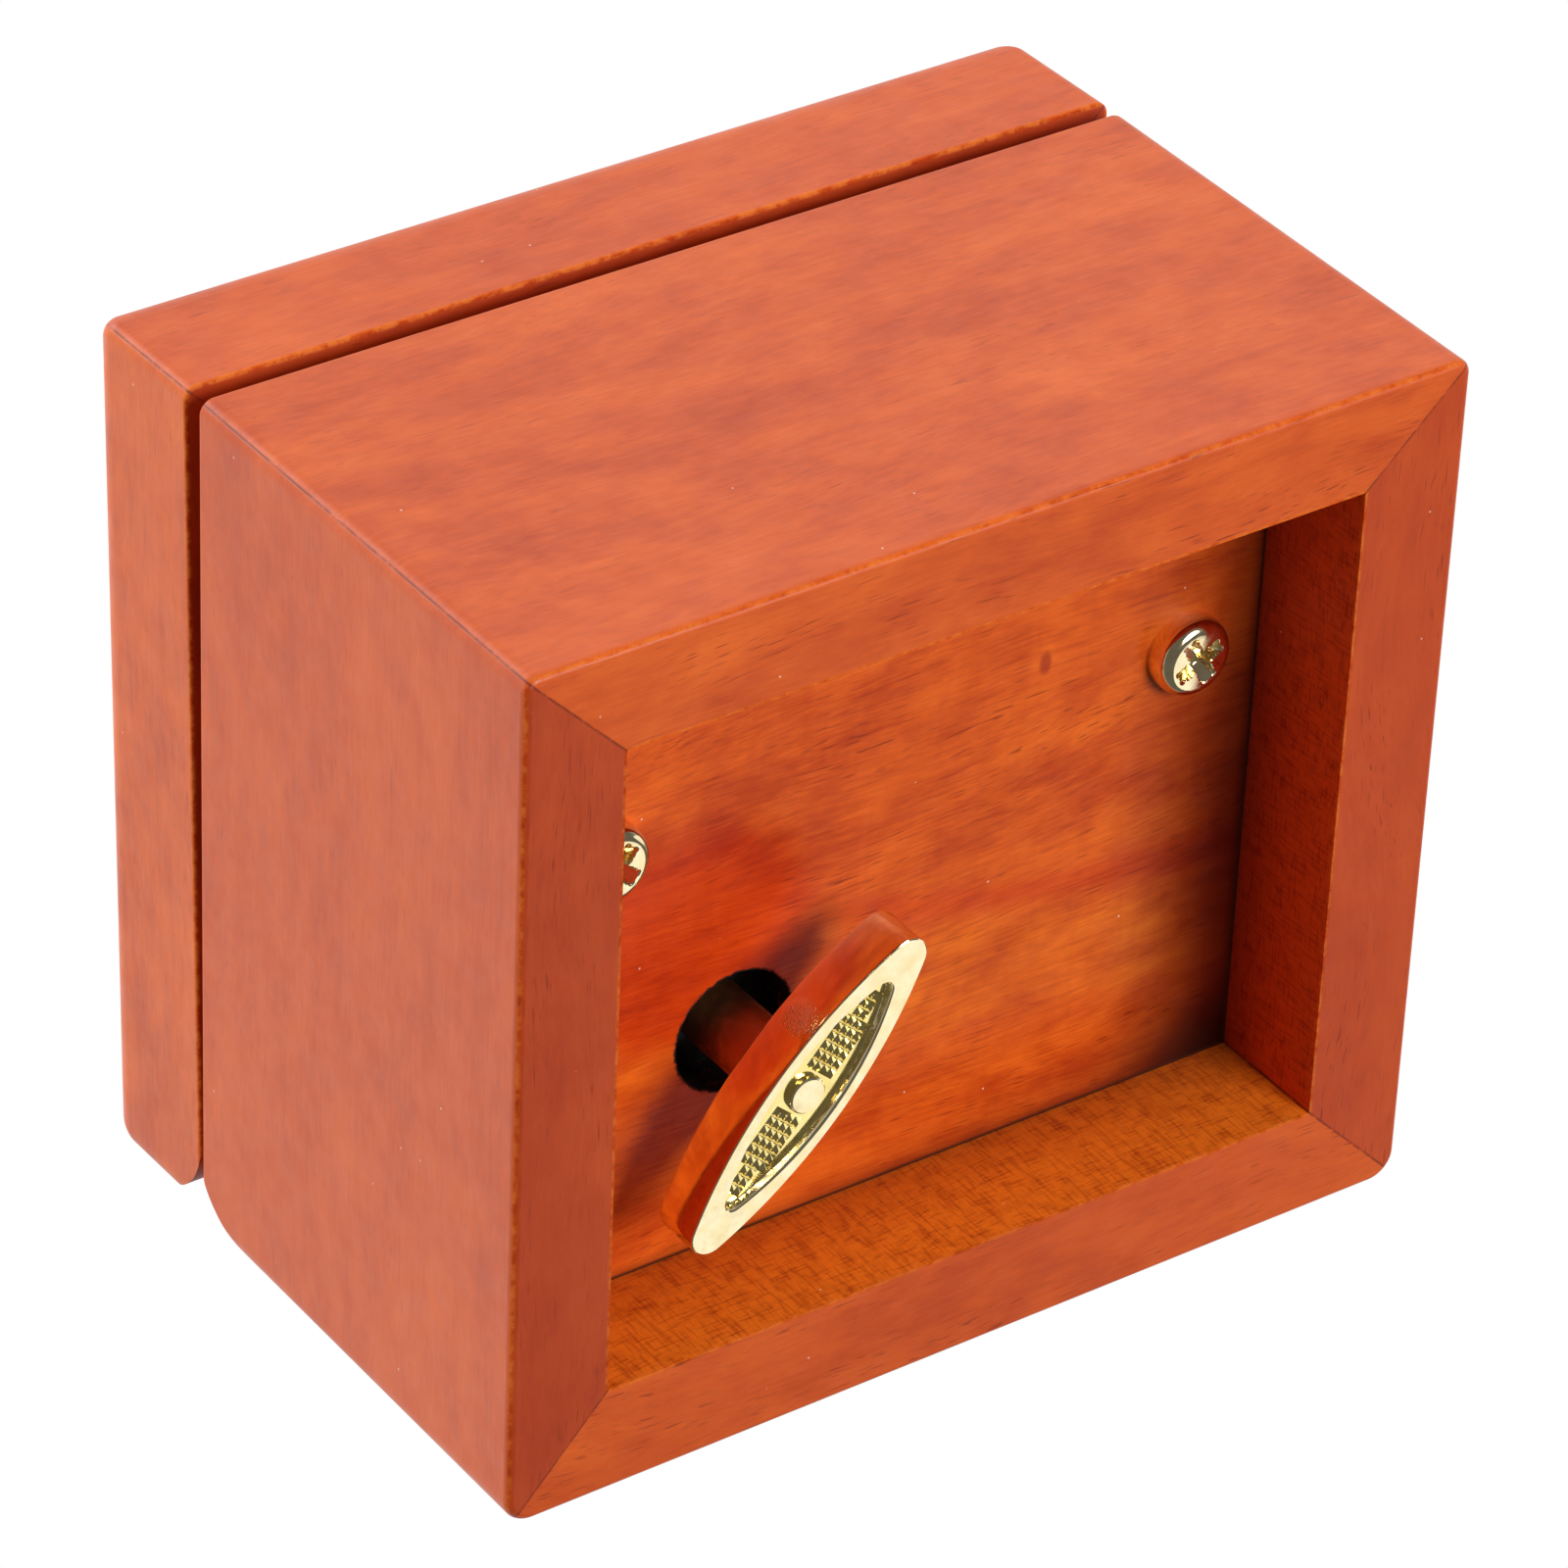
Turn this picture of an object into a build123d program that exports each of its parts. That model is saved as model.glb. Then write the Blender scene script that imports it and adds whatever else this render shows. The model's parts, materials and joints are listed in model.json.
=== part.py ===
"""Wind-up wooden music box: mitred case, hinged lid and an 18-note movement.

Millimetres, +Z up.  The box stands on the rim of its case at Z = 0, with the
origin in the middle of that rim.  X runs along the box, -Y is the front and
the lid is hinged at the back, +Y.  The lid rests a little short of closed,
held up by the stop rod of the movement.
"""
from build123d import *
from math import cos, pi, radians, sin
import os

# ---------------------------------------------------------------- case
LENGTH = 64.0           # outside, along X
DEPTH = 57.6            # outside, along Y
BODY_HEIGHT = 33.4      # from the rim to the seam under the lid
LEFT_WALL = 6.65
RIGHT_WALL = 7.1
FRONT_WALL = 6.7
BACK_WALL = 7.3
BACK_ROUND_Y = 4.8      # big rounding along the top of the back board
BACK_ROUND_Z = 10.0
BODY_EDGE = 0.5         # small rounding round the foot
SEAM_EDGE = 0.4         # and along the seam under the lid
FRONT_CORNER = 1.0      # upright corners
BACK_CORNER = 1.8
RECESS = 8.4            # from the rim up to the movement panel
PANEL = 3.0             # thickness of the movement panel
GROOVE = 1.0            # depth of the grooves that hold the panel
PANEL_PLAY = 0.1

INNER_LEFT = LEFT_WALL - LENGTH / 2
INNER_RIGHT = LENGTH / 2 - RIGHT_WALL
FRONT_Y = -DEPTH / 2
BACK_Y = DEPTH / 2
INNER_FRONT = FRONT_Y + FRONT_WALL
INNER_BACK = BACK_Y - BACK_WALL

# ---------------------------------------------------------------- lid
LID_THICK = 10.85
LID_BOTTOM = BODY_HEIGHT + 0.1      # with the lid fully closed
LID_BACK_Y = BACK_Y - 0.4
LID_ROUND_Y = 5.2                   # big rounding under the back rail
LID_ROUND_Z = 6.5
LID_TOP_EDGE = 2.6
LID_CORNER = 0.9        # front upright corners; the back ones are as round as the case
LID_LOW_EDGE = 0.2
LID_PANEL = 4.0                     # thickness of the top panel
RABBET = 2.0                        # ledge that the top panel drops into
AJAR = 1.3                          # degrees that the lid stands open at rest

# ---------------------------------------------------------------- hinges
HINGE_Y = BACK_Y - 3.6
HINGE_Z = BODY_HEIGHT + 0.15
HINGE_X = 18.0          # one hinge each side of the middle
HINGE_LENGTH = 12.0
KNUCKLE_R = 1.1
HINGE_PIN_R = 0.5
HINGE_PLAY = 0.04
LEAF_THICK = 0.5
LEAF_WIDTH = 3.2
BODY_LEAF = BODY_HEIGHT - LEAF_THICK    # underside of each leaf, flush with its wood
LID_LEAF = LID_BOTTOM
KNUCKLE_ROOM = 1.4      # radius of the relief cut in the wood
BRAD_R = 0.35
BRAD_HEAD_R = 0.8
BRAD_HEAD = 0.25
BRAD_LENGTH = 5.0
BRAD_SPACING = 7.0
FIT = 0.03              # play round what is let into the wood

# ---------------------------------------------------------------- movement
PANEL_TOP = RECESS + PANEL
PLATE = 2.0                         # thickness of the bedplate
PLATE_TOP = PANEL_TOP + PLATE
WIND_X = -11.55                     # winding axis
WIND_Y = 6.75
KEY_HOLE_R = 4.0
SCREWS_X = (-21.1, 19.3)            # the two movement screws
SCREW_Y = -8.8
SCREW_R = 1.25
RUN = 0.05                          # radial play of every running shaft

# spring barrel with its crown gear
ARBOR_R = 1.3
CORE_R = 2.2
BARREL_R = 8.5
BARREL_WALL = 0.6
BARREL_LOW = PLATE_TOP + 0.9
BARREL_HIGH = BARREL_LOW + 12.7
FLANGE = 1.5
CROWN_TEETH = 36
CROWN_R = 9.6                       # mean radius of the crown teeth
CROWN_IN = 8.8
CROWN_OUT = 10.4
CROWN_TOOTH = 1.15
CROWN_PITCH_Z = BARREL_LOW + FLANGE + 0.7

# music cylinder, on the axis that crosses the winding axis
PINION_TEETH = 18
PINION_R = CROWN_R * PINION_TEETH / CROWN_TEETH
CYL_Y = WIND_Y
CYL_Z = CROWN_PITCH_Z + PINION_R
CYL_R = 6.5
CYL_START = 0.65
CYL_END = 16.85
CYL_SHAFT_R = 0.9
PIN_R = 0.15
PIN_HEIGHT = 0.65
NOTES = 18
NOTE_PITCH = 0.9
NOTE_START = CYL_START + 0.45
BEATS = 60

# gear train to the air brake
MODULE = 0.5
WHEEL_TEETH = 26
IDLER_TEETH = 8
WORM_WHEEL_TEETH = 18
TRAIN_ANGLE = 20.0                  # the idler stands this far above +Y
WHEEL_R = MODULE * WHEEL_TEETH / 2
IDLER_R = MODULE * IDLER_TEETH / 2
WORM_WHEEL_R = MODULE * WORM_WHEEL_TEETH / 2
IDLER_Y = CYL_Y + (WHEEL_R + IDLER_R) * cos(radians(TRAIN_ANGLE))
IDLER_Z = CYL_Z + (WHEEL_R + IDLER_R) * sin(radians(TRAIN_ANGLE))
IDLER_ARBOR_R = 0.6
WORM_R = 1.3                        # pitch radius of the worm
WORM_PITCH = pi * MODULE
WORM_X = 21.6
WORM_Y = IDLER_Y - WORM_WHEEL_R - WORM_R
WORM_SHAFT_R = 0.5
FAN_R = 3.0
FAN_LOW = 31.0
FAN_HIGH = 34.0
WORM_TIP = 34.4

# upright plates of the movement: (near X, far X)
LEFT_PLATE = (-0.7, 0.3)
RIGHT_PLATE = (18.4, 19.4)
CHEEK = (23.6, 24.6)
CHEEK_ARM = (29.5, 30.2)            # low and high Z of the arm over the worm

# comb
COMB_TIP_Y = CYL_Y - CYL_R - PIN_HEIGHT - 0.15
COMB_FRONT_Y = -16.5
COMB_TOP = CYL_Z + 0.3
COMB_THICK = 1.0
TOOTH_THICK = 0.6
TOOTH_WIDTH = 0.68

# bridge over the barrel
POST_SPREAD = 12.4
POST_R = 1.4
BRIDGE_LOW = BARREL_HIGH + 0.9
BRIDGE = 1.2
STRAP = 4.2             # width of the bridge

# stop rod
STOP_X = 22.6
STOP_Y = -1.0
STOP_R = 0.7
STOP_TRAVEL = 1.2
GUIDE_TOP = 20.0
COLLAR_Z = 24.0
PAD_LOW = WORM_TIP + STOP_TRAVEL + 0.1
ARM_LOW = PAD_LOW + 0.4
ARM_THICK = 0.7

# winding key
KEY_FACE = 0.8          # the wing's outer face stays inside the rim
KEY_WING = 3.4
KEY_HALF_LENGTH = 11.0
KEY_HALF_WIDTH = 3.05
KEY_TIP_R = 1.3
KEY_ANGLE = 132.0
KEY_STEM_R = 2.1
KEY_SOCKET = 6.4        # height at which the arbor's threaded end stops


# ---------------------------------------------------------------- helpers
def block(x_range, y_range, z_range):
    """A box between two values on each axis."""
    size = [high - low for low, high in (x_range, y_range, z_range)]
    middle = [(low + high) / 2 for low, high in (x_range, y_range, z_range)]
    return Pos(*middle) * Box(*size)


def upright(x, y, radius, low, high):
    """A round bar along Z."""
    return Pos(x, y, (low + high) / 2) * Cylinder(radius, high - low)


def lengthwise(y, z, radius, start, end):
    """A round bar along X."""
    return Pos((start + end) / 2, y, z) * Rot(0, 90, 0) * Cylinder(radius, end - start)


def solids_of(pieces):
    """Separate solids that share one node."""
    return Compound(children=[solid for piece in pieces for solid in piece.solids()])


def mitre_wedge(outer_ends, inner_ends, low, high):
    """The column of space that one mitred board fills, between its two mitre planes."""
    reach = 1.5         # run the mitre lines on past the outer face
    outside = [
        (o[0] * reach - i[0] * (reach - 1), o[1] * reach - i[1] * (reach - 1))
        for o, i in zip(outer_ends, inner_ends)
    ]
    outline = Polyline(outside[0], outside[1], inner_ends[1], inner_ends[0], close=True)
    return Pos(0, 0, low) * extrude(make_face(outline), high - low)


def mitred_boards(ring, back_y, low, high):
    """Split a ring of wood into its front, back, left and right boards."""
    outer = {
        "fl": (-LENGTH / 2, FRONT_Y), "fr": (LENGTH / 2, FRONT_Y),
        "bl": (-LENGTH / 2, back_y), "br": (LENGTH / 2, back_y),
    }
    inner = {
        "fl": (INNER_LEFT, INNER_FRONT), "fr": (INNER_RIGHT, INNER_FRONT),
        "bl": (INNER_LEFT, INNER_BACK), "br": (INNER_RIGHT, INNER_BACK),
    }
    sides = {"front": ("fl", "fr"), "back": ("br", "bl"), "left": ("bl", "fl"), "right": ("fr", "br")}
    return {
        side: ring & mitre_wedge([outer[c] for c in corners], [inner[c] for c in corners], low, high)
        for side, corners in sides.items()
    }


def gear_outline(teeth, pitch_r, addendum, dedendum, width, phase):
    """Flat gear face with straight-sided teeth; width is the share of the pitch at the pitch line."""
    step = 2 * pi / teeth
    half = width * step / 2
    flank = [(-1.35, -dedendum), (-0.62, addendum), (0.62, addendum), (1.35, -dedendum)]
    points = [
        ((pitch_r + rise) * cos(radians(phase) + k * step + side * half),
         (pitch_r + rise) * sin(radians(phase) + k * step + side * half))
        for k in range(teeth) for side, rise in flank
    ]
    return make_face(Polyline(*points, close=True))


def gear_on_x(y, z, start, end, bore_r, **outline):
    """A gear whose axis runs along X."""
    face = gear_outline(**outline) - Circle(bore_r)
    return Pos(start, y, z) * extrude(Plane.YZ * face, end - start)


def screw(x, y, seat, head_r, head, shank_r, shank, up=True):
    """Pan-head cross-recess screw: its head sits on the seat and its shank runs the other way."""
    way = 1 if up else -1
    cap = Pos(0, 0, head / 2) * Cylinder(head_r, head)
    cap = fillet(cap.edges().filter_by(GeomType.CIRCLE).sort_by(Axis.Z)[-1], head * 0.6)
    slot = Box(head_r * 1.1, head_r * 0.26, head)
    cap = cap - Pos(0, 0, head) * (slot + Rot(0, 0, 90) * slot)
    body = cap + Pos(0, 0, -shank / 2) * Cylinder(shank_r, shank)
    turn = Rot(0, 0, 25) if way == 1 else Rot(180, 0, 25)
    return Pos(x, y, seat) * turn * body


def coil(x, y, radius, wire_r, low, high, turns):
    """A helical spring along Z."""
    height = high - low - 2 * wire_r
    path = Helix(pitch=height / turns, height=height, radius=radius)
    section = Plane(origin=path @ 0, z_dir=path % 0) * Circle(wire_r)
    return Pos(x, y, low + wire_r) * sweep(section, path=path, is_frenet=True)


def lens(half_length, half_width, tip_r):
    """Boat-shaped outline along X with rounded tips."""
    tip_x = half_length - tip_r
    rise = half_width - tip_r
    offset = (tip_x ** 2 - rise ** 2) / (2 * rise)
    side = Circle(offset + half_width)
    shape = (Pos(0, offset) * side) & (Pos(0, -offset) * side)
    return fillet(shape.vertices(), tip_r)


# ---------------------------------------------------------------- wooden case
def inner_space(margin, low, high):
    """The space inside the four boards, this much wider on every side."""
    return block(
        (INNER_LEFT - margin, INNER_RIGHT + margin),
        (INNER_FRONT - margin, INNER_BACK + margin),
        (low, high),
    )


def rounded_block(low, high, back_y, front_corner, back_corner):
    """Solid as long and deep as the box, with its upright corners rounded."""
    whole = block((-LENGTH / 2, LENGTH / 2), (FRONT_Y, back_y), (low, high))
    whole = fillet(whole.edges().filter_by(Axis.Z).group_by(Axis.Y)[0], front_corner)
    return fillet(whole.edges().filter_by(Axis.Z).group_by(Axis.Y)[-1], back_corner)


def case_boards():
    """Four mitred boards; the top of the back board is rounded off for the lid to swing."""
    whole = rounded_block(0, BODY_HEIGHT, BACK_Y, FRONT_CORNER, BACK_CORNER)
    whole = fillet(whole.faces().sort_by(Axis.Z)[0].edges(), BODY_EDGE)
    whole = fillet(whole.faces().sort_by(Axis.Z)[-1].edges(), SEAM_EDGE)
    corner = (BACK_Y - BACK_ROUND_Y, BODY_HEIGHT - BACK_ROUND_Z)
    rounding = EllipticalCenterArc(corner, BACK_ROUND_Y, BACK_ROUND_Z, 0, arc_size=90)
    beyond = Polyline(rounding @ 1, (corner[0], BODY_HEIGHT + 1), (BACK_Y + 1, BODY_HEIGHT + 1),
                      (BACK_Y + 1, corner[1]), rounding @ 0)
    whole -= extrude(Plane.YZ * make_face(rounding + beyond), LENGTH, both=True)
    ring = whole - inner_space(0, -1, BODY_HEIGHT + 1)
    ring -= inner_space(GROOVE, RECESS, PANEL_TOP)
    for x in (-HINGE_X, HINGE_X):
        ring -= hinge_room(x)
        ring -= leaf_plate(x, BODY_LEAF, LEAF_THICK + 1, FIT)
        for nail in brads(x, BODY_HEIGHT, True, FIT):
            ring -= nail
    return mitred_boards(ring, BACK_Y, -1, BODY_HEIGHT + 1)


def movement_panel():
    """Thin panel held in the grooves, with the key hole and the two screw holes."""
    panel = inner_space(GROOVE - PANEL_PLAY, RECESS, PANEL_TOP)
    panel -= upright(WIND_X, WIND_Y, KEY_HOLE_R, RECESS - 1, PANEL_TOP + 1)
    for x in SCREWS_X:
        panel -= upright(x, SCREW_Y, SCREW_R, RECESS - 1, PANEL_TOP + 1)
    return panel


def movement_screws():
    shank = PANEL + PLATE + 1.5
    return solids_of(
        screw(x, SCREW_Y, RECESS, 2.55, 1.7, SCREW_R, shank, up=False) for x in SCREWS_X
    )


# ---------------------------------------------------------------- lid, drawn closed
def lid_boards():
    """Four mitred rails with a rounded top edge, and a ledge for the top panel."""
    top = LID_BOTTOM + LID_THICK
    whole = rounded_block(LID_BOTTOM, top, LID_BACK_Y, LID_CORNER, BACK_CORNER)
    whole = fillet(whole.faces().sort_by(Axis.Z)[-1].edges(), LID_TOP_EDGE)
    whole = fillet(whole.faces().sort_by(Axis.Z)[0].edges(), LID_LOW_EDGE)
    corner = (LID_BACK_Y - LID_ROUND_Y, LID_BOTTOM + LID_ROUND_Z)
    rounding = EllipticalCenterArc(corner, LID_ROUND_Y, LID_ROUND_Z, 270, arc_size=90)
    beyond = Polyline(rounding @ 1, (LID_BACK_Y + 1, corner[1]), (LID_BACK_Y + 1, LID_BOTTOM - 1),
                      (corner[0], LID_BOTTOM - 1), rounding @ 0)
    whole -= extrude(Plane.YZ * make_face(rounding + beyond), LENGTH, both=True)
    ring = whole - inner_space(0, LID_BOTTOM - 1, top + 1)
    ring -= inner_space(RABBET, top - LID_PANEL, top + 1)
    for x in (-HINGE_X, HINGE_X):
        ring -= hinge_room(x)
        ring -= leaf_plate(x, LID_LEAF - 1, LEAF_THICK + 1, FIT)
        for nail in brads(x, LID_BOTTOM, False, FIT):
            ring -= nail
    return mitred_boards(ring, LID_BACK_Y, LID_BOTTOM - 1, top + 1)


def lid_panel():
    """Top panel, sunk flush into the ledge of the rails."""
    top = LID_BOTTOM + LID_THICK
    return inner_space(RABBET - PANEL_PLAY, top - LID_PANEL, top)


def ajar(shape):
    """Swing a piece of the closed lid to the place where it rests."""
    hinge = Axis((0, HINGE_Y, HINGE_Z), (-1, 0, 0))
    return shape.rotate(hinge, AJAR)


# ---------------------------------------------------------------- hinges
def hinge_room(x):
    half = HINGE_LENGTH / 2 + 0.2
    return lengthwise(HINGE_Y, HINGE_Z, KNUCKLE_ROOM, x - half, x + half)


def leaf_plate(x, low, thick=LEAF_THICK, play=0.0):
    """The flat of one leaf, with its underside at this height."""
    half = HINGE_LENGTH / 2 + play
    return block((x - half, x + half), (HINGE_Y - LEAF_WIDTH - play, HINGE_Y), (low, low + thick))


def brads(x, seat, up, play=0.0):
    """Two small nails that pin a leaf to the wood; their heads lie in the leaf's face."""
    way = 1 if up else -1
    y = HINGE_Y - LEAF_WIDTH / 2 - 0.55
    nails = []
    for offset in (-BRAD_SPACING / 2, BRAD_SPACING / 2):
        neck = seat - way * (BRAD_HEAD + play)
        head = sorted((seat, neck))
        shank = sorted((neck, seat - way * (BRAD_LENGTH + play)))
        nail = upright(x + offset, y, BRAD_HEAD_R + play, *head)
        nail += upright(x + offset, y, BRAD_R + play, *shank)
        nails.append(nail)
    return nails


def hinge_half(x, low, knuckles, others, seat, up):
    """One leaf with its own knuckles, cut clear of the other leaf's knuckles and of the pin."""
    third = HINGE_LENGTH / 3
    gap = 0.08
    leaf = leaf_plate(x, low)
    for k in others:
        start = x + (k - 1.5) * third
        leaf -= lengthwise(HINGE_Y, HINGE_Z, KNUCKLE_ROOM, start - gap, start + third + gap)
    for k in knuckles:
        start = x + (k - 1.5) * third
        leaf += lengthwise(HINGE_Y, HINGE_Z, KNUCKLE_R, start + gap, start + third - gap)
    leaf -= lengthwise(HINGE_Y, HINGE_Z, HINGE_PIN_R + HINGE_PLAY, x - third * 2, x + third * 2)
    for nail in brads(x, seat, up):
        leaf -= nail
    return leaf


def hinge_pins():
    half = HINGE_LENGTH / 2 - 0.05
    return solids_of(
        lengthwise(HINGE_Y, HINGE_Z, HINGE_PIN_R, x - half, x + half) for x in (-HINGE_X, HINGE_X)
    )


# ---------------------------------------------------------------- movement frame
def bedplate():
    """Cast plate with its screw bosses, comb platform, bridge posts and shaft bearings."""
    plate = Pos(-0.2, -0.3, PANEL_TOP + PLATE / 2) * Box(49.4, 42.4, PLATE)
    plate = fillet(plate.edges().filter_by(Axis.Z), 3.0)
    for x in SCREWS_X:
        plate += upright(x, SCREW_Y, 2.5, PLATE_TOP, PLATE_TOP + 2.5)
    platform = (COMB_FRONT_Y, COMB_FRONT_Y + 5.2)
    plate += block((CYL_START, CYL_END), platform, (PLATE_TOP, COMB_TOP - COMB_THICK))
    for y in (WIND_Y - POST_SPREAD, WIND_Y + POST_SPREAD):
        plate += upright(WIND_X, y, POST_R, PLATE_TOP, BRIDGE_LOW)
        plate -= upright(WIND_X, y, 0.8, BRIDGE_LOW - 4, BRIDGE_LOW)
    plate += upright(WIND_X, WIND_Y, 2.6, PLATE_TOP, PLATE_TOP + 0.5)
    plate += upright(WORM_X, WORM_Y, 1.2, PLATE_TOP, PLATE_TOP + 1.2)
    plate -= upright(WIND_X, WIND_Y, ARBOR_R + RUN, PANEL_TOP - 1, PLATE_TOP + 1)
    plate -= upright(WORM_X, WORM_Y, WORM_SHAFT_R + RUN, PLATE_TOP, PLATE_TOP + 2)
    for x in SCREWS_X:
        plate -= upright(x, SCREW_Y, SCREW_R, PANEL_TOP - 1, PANEL_TOP + PLATE + 1.5)
    for x in comb_screw_places():
        plate -= upright(x, COMB_FRONT_Y + 2.4, 0.8, COMB_TOP - 5, COMB_TOP)
    for start, end, y in tenon_places():
        plate -= block((start, end), (y - 1.5, y + 1.5), (PANEL_TOP - 1, PLATE_TOP + 1))
    return plate


def tenon_places():
    """Where the upright plates' feet go through the bedplate."""
    return (
        (*LEFT_PLATE, CYL_Y - 2.2), (*LEFT_PLATE, CYL_Y + 2.2),
        (*RIGHT_PLATE, CYL_Y - 1.5), (*RIGHT_PLATE, IDLER_Y),
        (*CHEEK, WORM_Y - 1.0), (*CHEEK, IDLER_Y),
    )


def upright_plate(span, y_range, high):
    """A punched plate that stands on the bedplate, with feet riveted into it."""
    plate = block(span, y_range, (PLATE_TOP, high))
    plate = fillet(plate.edges().filter_by(Axis.X).group_by(Axis.Z)[-1], 1.5)
    for start, end, y in tenon_places():
        if (start, end) == span:
            plate += block(span, (y - 1.5, y + 1.5), (PANEL_TOP, PLATE_TOP))
    return plate


def cylinder_bearing():
    plate = upright_plate(LEFT_PLATE, (CYL_Y - 4, CYL_Y + 4), CYL_Z + 3)
    return plate - lengthwise(CYL_Y, CYL_Z, CYL_SHAFT_R + RUN, -5, 5)


def governor_plate():
    plate = upright_plate(RIGHT_PLATE, (CYL_Y - 3.5, IDLER_Y + 2.5), IDLER_Z + 3)
    plate -= lengthwise(CYL_Y, CYL_Z, CYL_SHAFT_R + RUN, 15, 22)
    return plate - lengthwise(IDLER_Y, IDLER_Z, IDLER_ARBOR_R + RUN, 15, 22)


def governor_cheek():
    """Outer plate, with an arm that carries the top of the worm's shaft."""
    plate = upright_plate(CHEEK, (WORM_Y - 3, IDLER_Y + 2.5), CHEEK_ARM[1])
    plate += block((WORM_X - 1.5, CHEEK[0]), (WORM_Y - 1.4, WORM_Y + 1.4), CHEEK_ARM)
    plate -= lengthwise(IDLER_Y, IDLER_Z, IDLER_ARBOR_R + RUN, 22, 26)
    return plate - upright(WORM_X, WORM_Y, WORM_SHAFT_R + RUN, CHEEK_ARM[0] - 1, CHEEK_ARM[1] + 1)


def comb_screw_places():
    return (CYL_START + 3.6, CYL_END - 3.6)


def comb():
    """Steel comb: thick base, and teeth that shorten from the low notes to the high ones."""
    thick = (COMB_TOP - COMB_THICK, COMB_TOP)
    base = block((CYL_START, CYL_END), (COMB_FRONT_Y, COMB_FRONT_Y + 5.0), thick)
    for note in range(NOTES):
        x = NOTE_START + note * NOTE_PITCH
        root = COMB_FRONT_Y + 5.0 + 0.2 * note
        land = (x - NOTE_PITCH / 2, x + NOTE_PITCH / 2)
        if note:
            base += block(land, (COMB_FRONT_Y + 4.5, root), thick)
        width = (x - TOOTH_WIDTH / 2, x + TOOTH_WIDTH / 2)
        base += block(width, (root - 0.5, COMB_TIP_Y), (COMB_TOP - TOOTH_THICK, COMB_TOP))
    for x in comb_screw_places():
        base -= upright(x, COMB_FRONT_Y + 2.4, 0.8, COMB_TOP - 2, COMB_TOP + 1)
    return base


def comb_screws():
    y = COMB_FRONT_Y + 2.4
    return solids_of(screw(x, y, COMB_TOP, 1.6, 1.0, 0.8, 4.5) for x in comb_screw_places())


def barrel_bridge():
    """Strap that holds the top of the winding arbor."""
    outline = SlotOverall(2 * POST_SPREAD + STRAP, STRAP, rotation=90)
    strap = Pos(WIND_X, WIND_Y, BRIDGE_LOW) * extrude(outline, BRIDGE)
    strap -= upright(WIND_X, WIND_Y, ARBOR_R + RUN, BRIDGE_LOW - 1, BRIDGE_LOW + 2)
    for y in (WIND_Y - POST_SPREAD, WIND_Y + POST_SPREAD):
        strap -= upright(WIND_X, y, 0.8, BRIDGE_LOW - 1, BRIDGE_LOW + 2)
    return strap


def bridge_screws():
    seat = BRIDGE_LOW + BRIDGE
    places = (WIND_Y - POST_SPREAD, WIND_Y + POST_SPREAD)
    return solids_of(screw(WIND_X, y, seat, 1.5, 0.9, 0.8, 4.5) for y in places)


# ---------------------------------------------------------------- winding
def winding_key():
    """Boat-shaped wing on a round stem, with a sunk panel in its face and a socket for the arbor."""
    wing = extrude(lens(KEY_HALF_LENGTH, KEY_HALF_WIDTH, KEY_TIP_R), KEY_WING)
    wing = fillet(wing.edges().group_by(Axis.Z)[0] + wing.edges().group_by(Axis.Z)[-1], 0.25)
    wing -= extrude(lens(8.0, 2.05, 0.4), 0.6)
    wing += Pos(0, 0, 0.3) * Cylinder(0.95, 0.6)
    wing = Pos(0, 0, KEY_FACE) * wing
    stem_top = PANEL_TOP - 0.5
    wing += upright(0, 0, KEY_STEM_R, KEY_FACE + KEY_WING, stem_top)
    wing += upright(0, 0, KEY_STEM_R + 0.4, KEY_FACE + KEY_WING, KEY_FACE + KEY_WING + 0.4)
    wing -= upright(0, 0, ARBOR_R, KEY_SOCKET, stem_top + 1)
    return Pos(WIND_X, WIND_Y) * Rot(0, 0, KEY_ANGLE) * wing


def winding_arbor():
    arbor = upright(WIND_X, WIND_Y, ARBOR_R, KEY_SOCKET, BRIDGE_LOW + BRIDGE + 0.9)
    return arbor + upright(WIND_X, WIND_Y, CORE_R, BARREL_LOW + 1.3, BARREL_HIGH - 1.1)


def arbor_clip():
    """Open ring that keeps the arbor from dropping out of its bridge."""
    low = BRIDGE_LOW + BRIDGE + 0.15
    ring = upright(0, 0, 2.5, low, low + 0.5) - upright(0, 0, ARBOR_R, low - 1, low + 1)
    return Pos(WIND_X, WIND_Y) * (ring - block((0, 5), (-0.9, 0.9), (low - 1, low + 1)))


def spring_barrel():
    """Brass drum with a flange at its foot, and the crown teeth standing on the flange."""
    drum = upright(0, 0, CROWN_OUT, BARREL_LOW, BARREL_LOW + FLANGE)
    drum += upright(0, 0, BARREL_R, BARREL_LOW, BARREL_HIGH)
    drum -= upright(0, 0, BARREL_R - BARREL_WALL, BARREL_LOW + 1.0, BARREL_HIGH + 1)
    drum -= upright(0, 0, ARBOR_R + RUN, BARREL_LOW - 1, BARREL_LOW + 2)
    foot = BARREL_LOW + FLANGE
    outline = Polyline((-0.39, -0.2), (-0.39, 0), (-0.2, CROWN_TOOTH), (0.2, CROWN_TOOTH), (0.39, 0),
                       (0.39, -0.2), close=True)
    tooth = Pos(CROWN_IN, 0, foot) * extrude(Plane.YZ * make_face(outline), CROWN_OUT - CROWN_IN - 0.05)
    step = 360 / CROWN_TEETH
    for k in range(CROWN_TEETH):
        drum += Rot(0, 0, (k + 0.5) * step) * tooth
    return Pos(WIND_X, WIND_Y) * drum


def barrel_cap():
    cap = upright(WIND_X, WIND_Y, BARREL_R - BARREL_WALL, BARREL_HIGH - 0.8, BARREL_HIGH)
    return cap - upright(WIND_X, WIND_Y, ARBOR_R + RUN, BARREL_HIGH - 2, BARREL_HIGH + 1)


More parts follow.
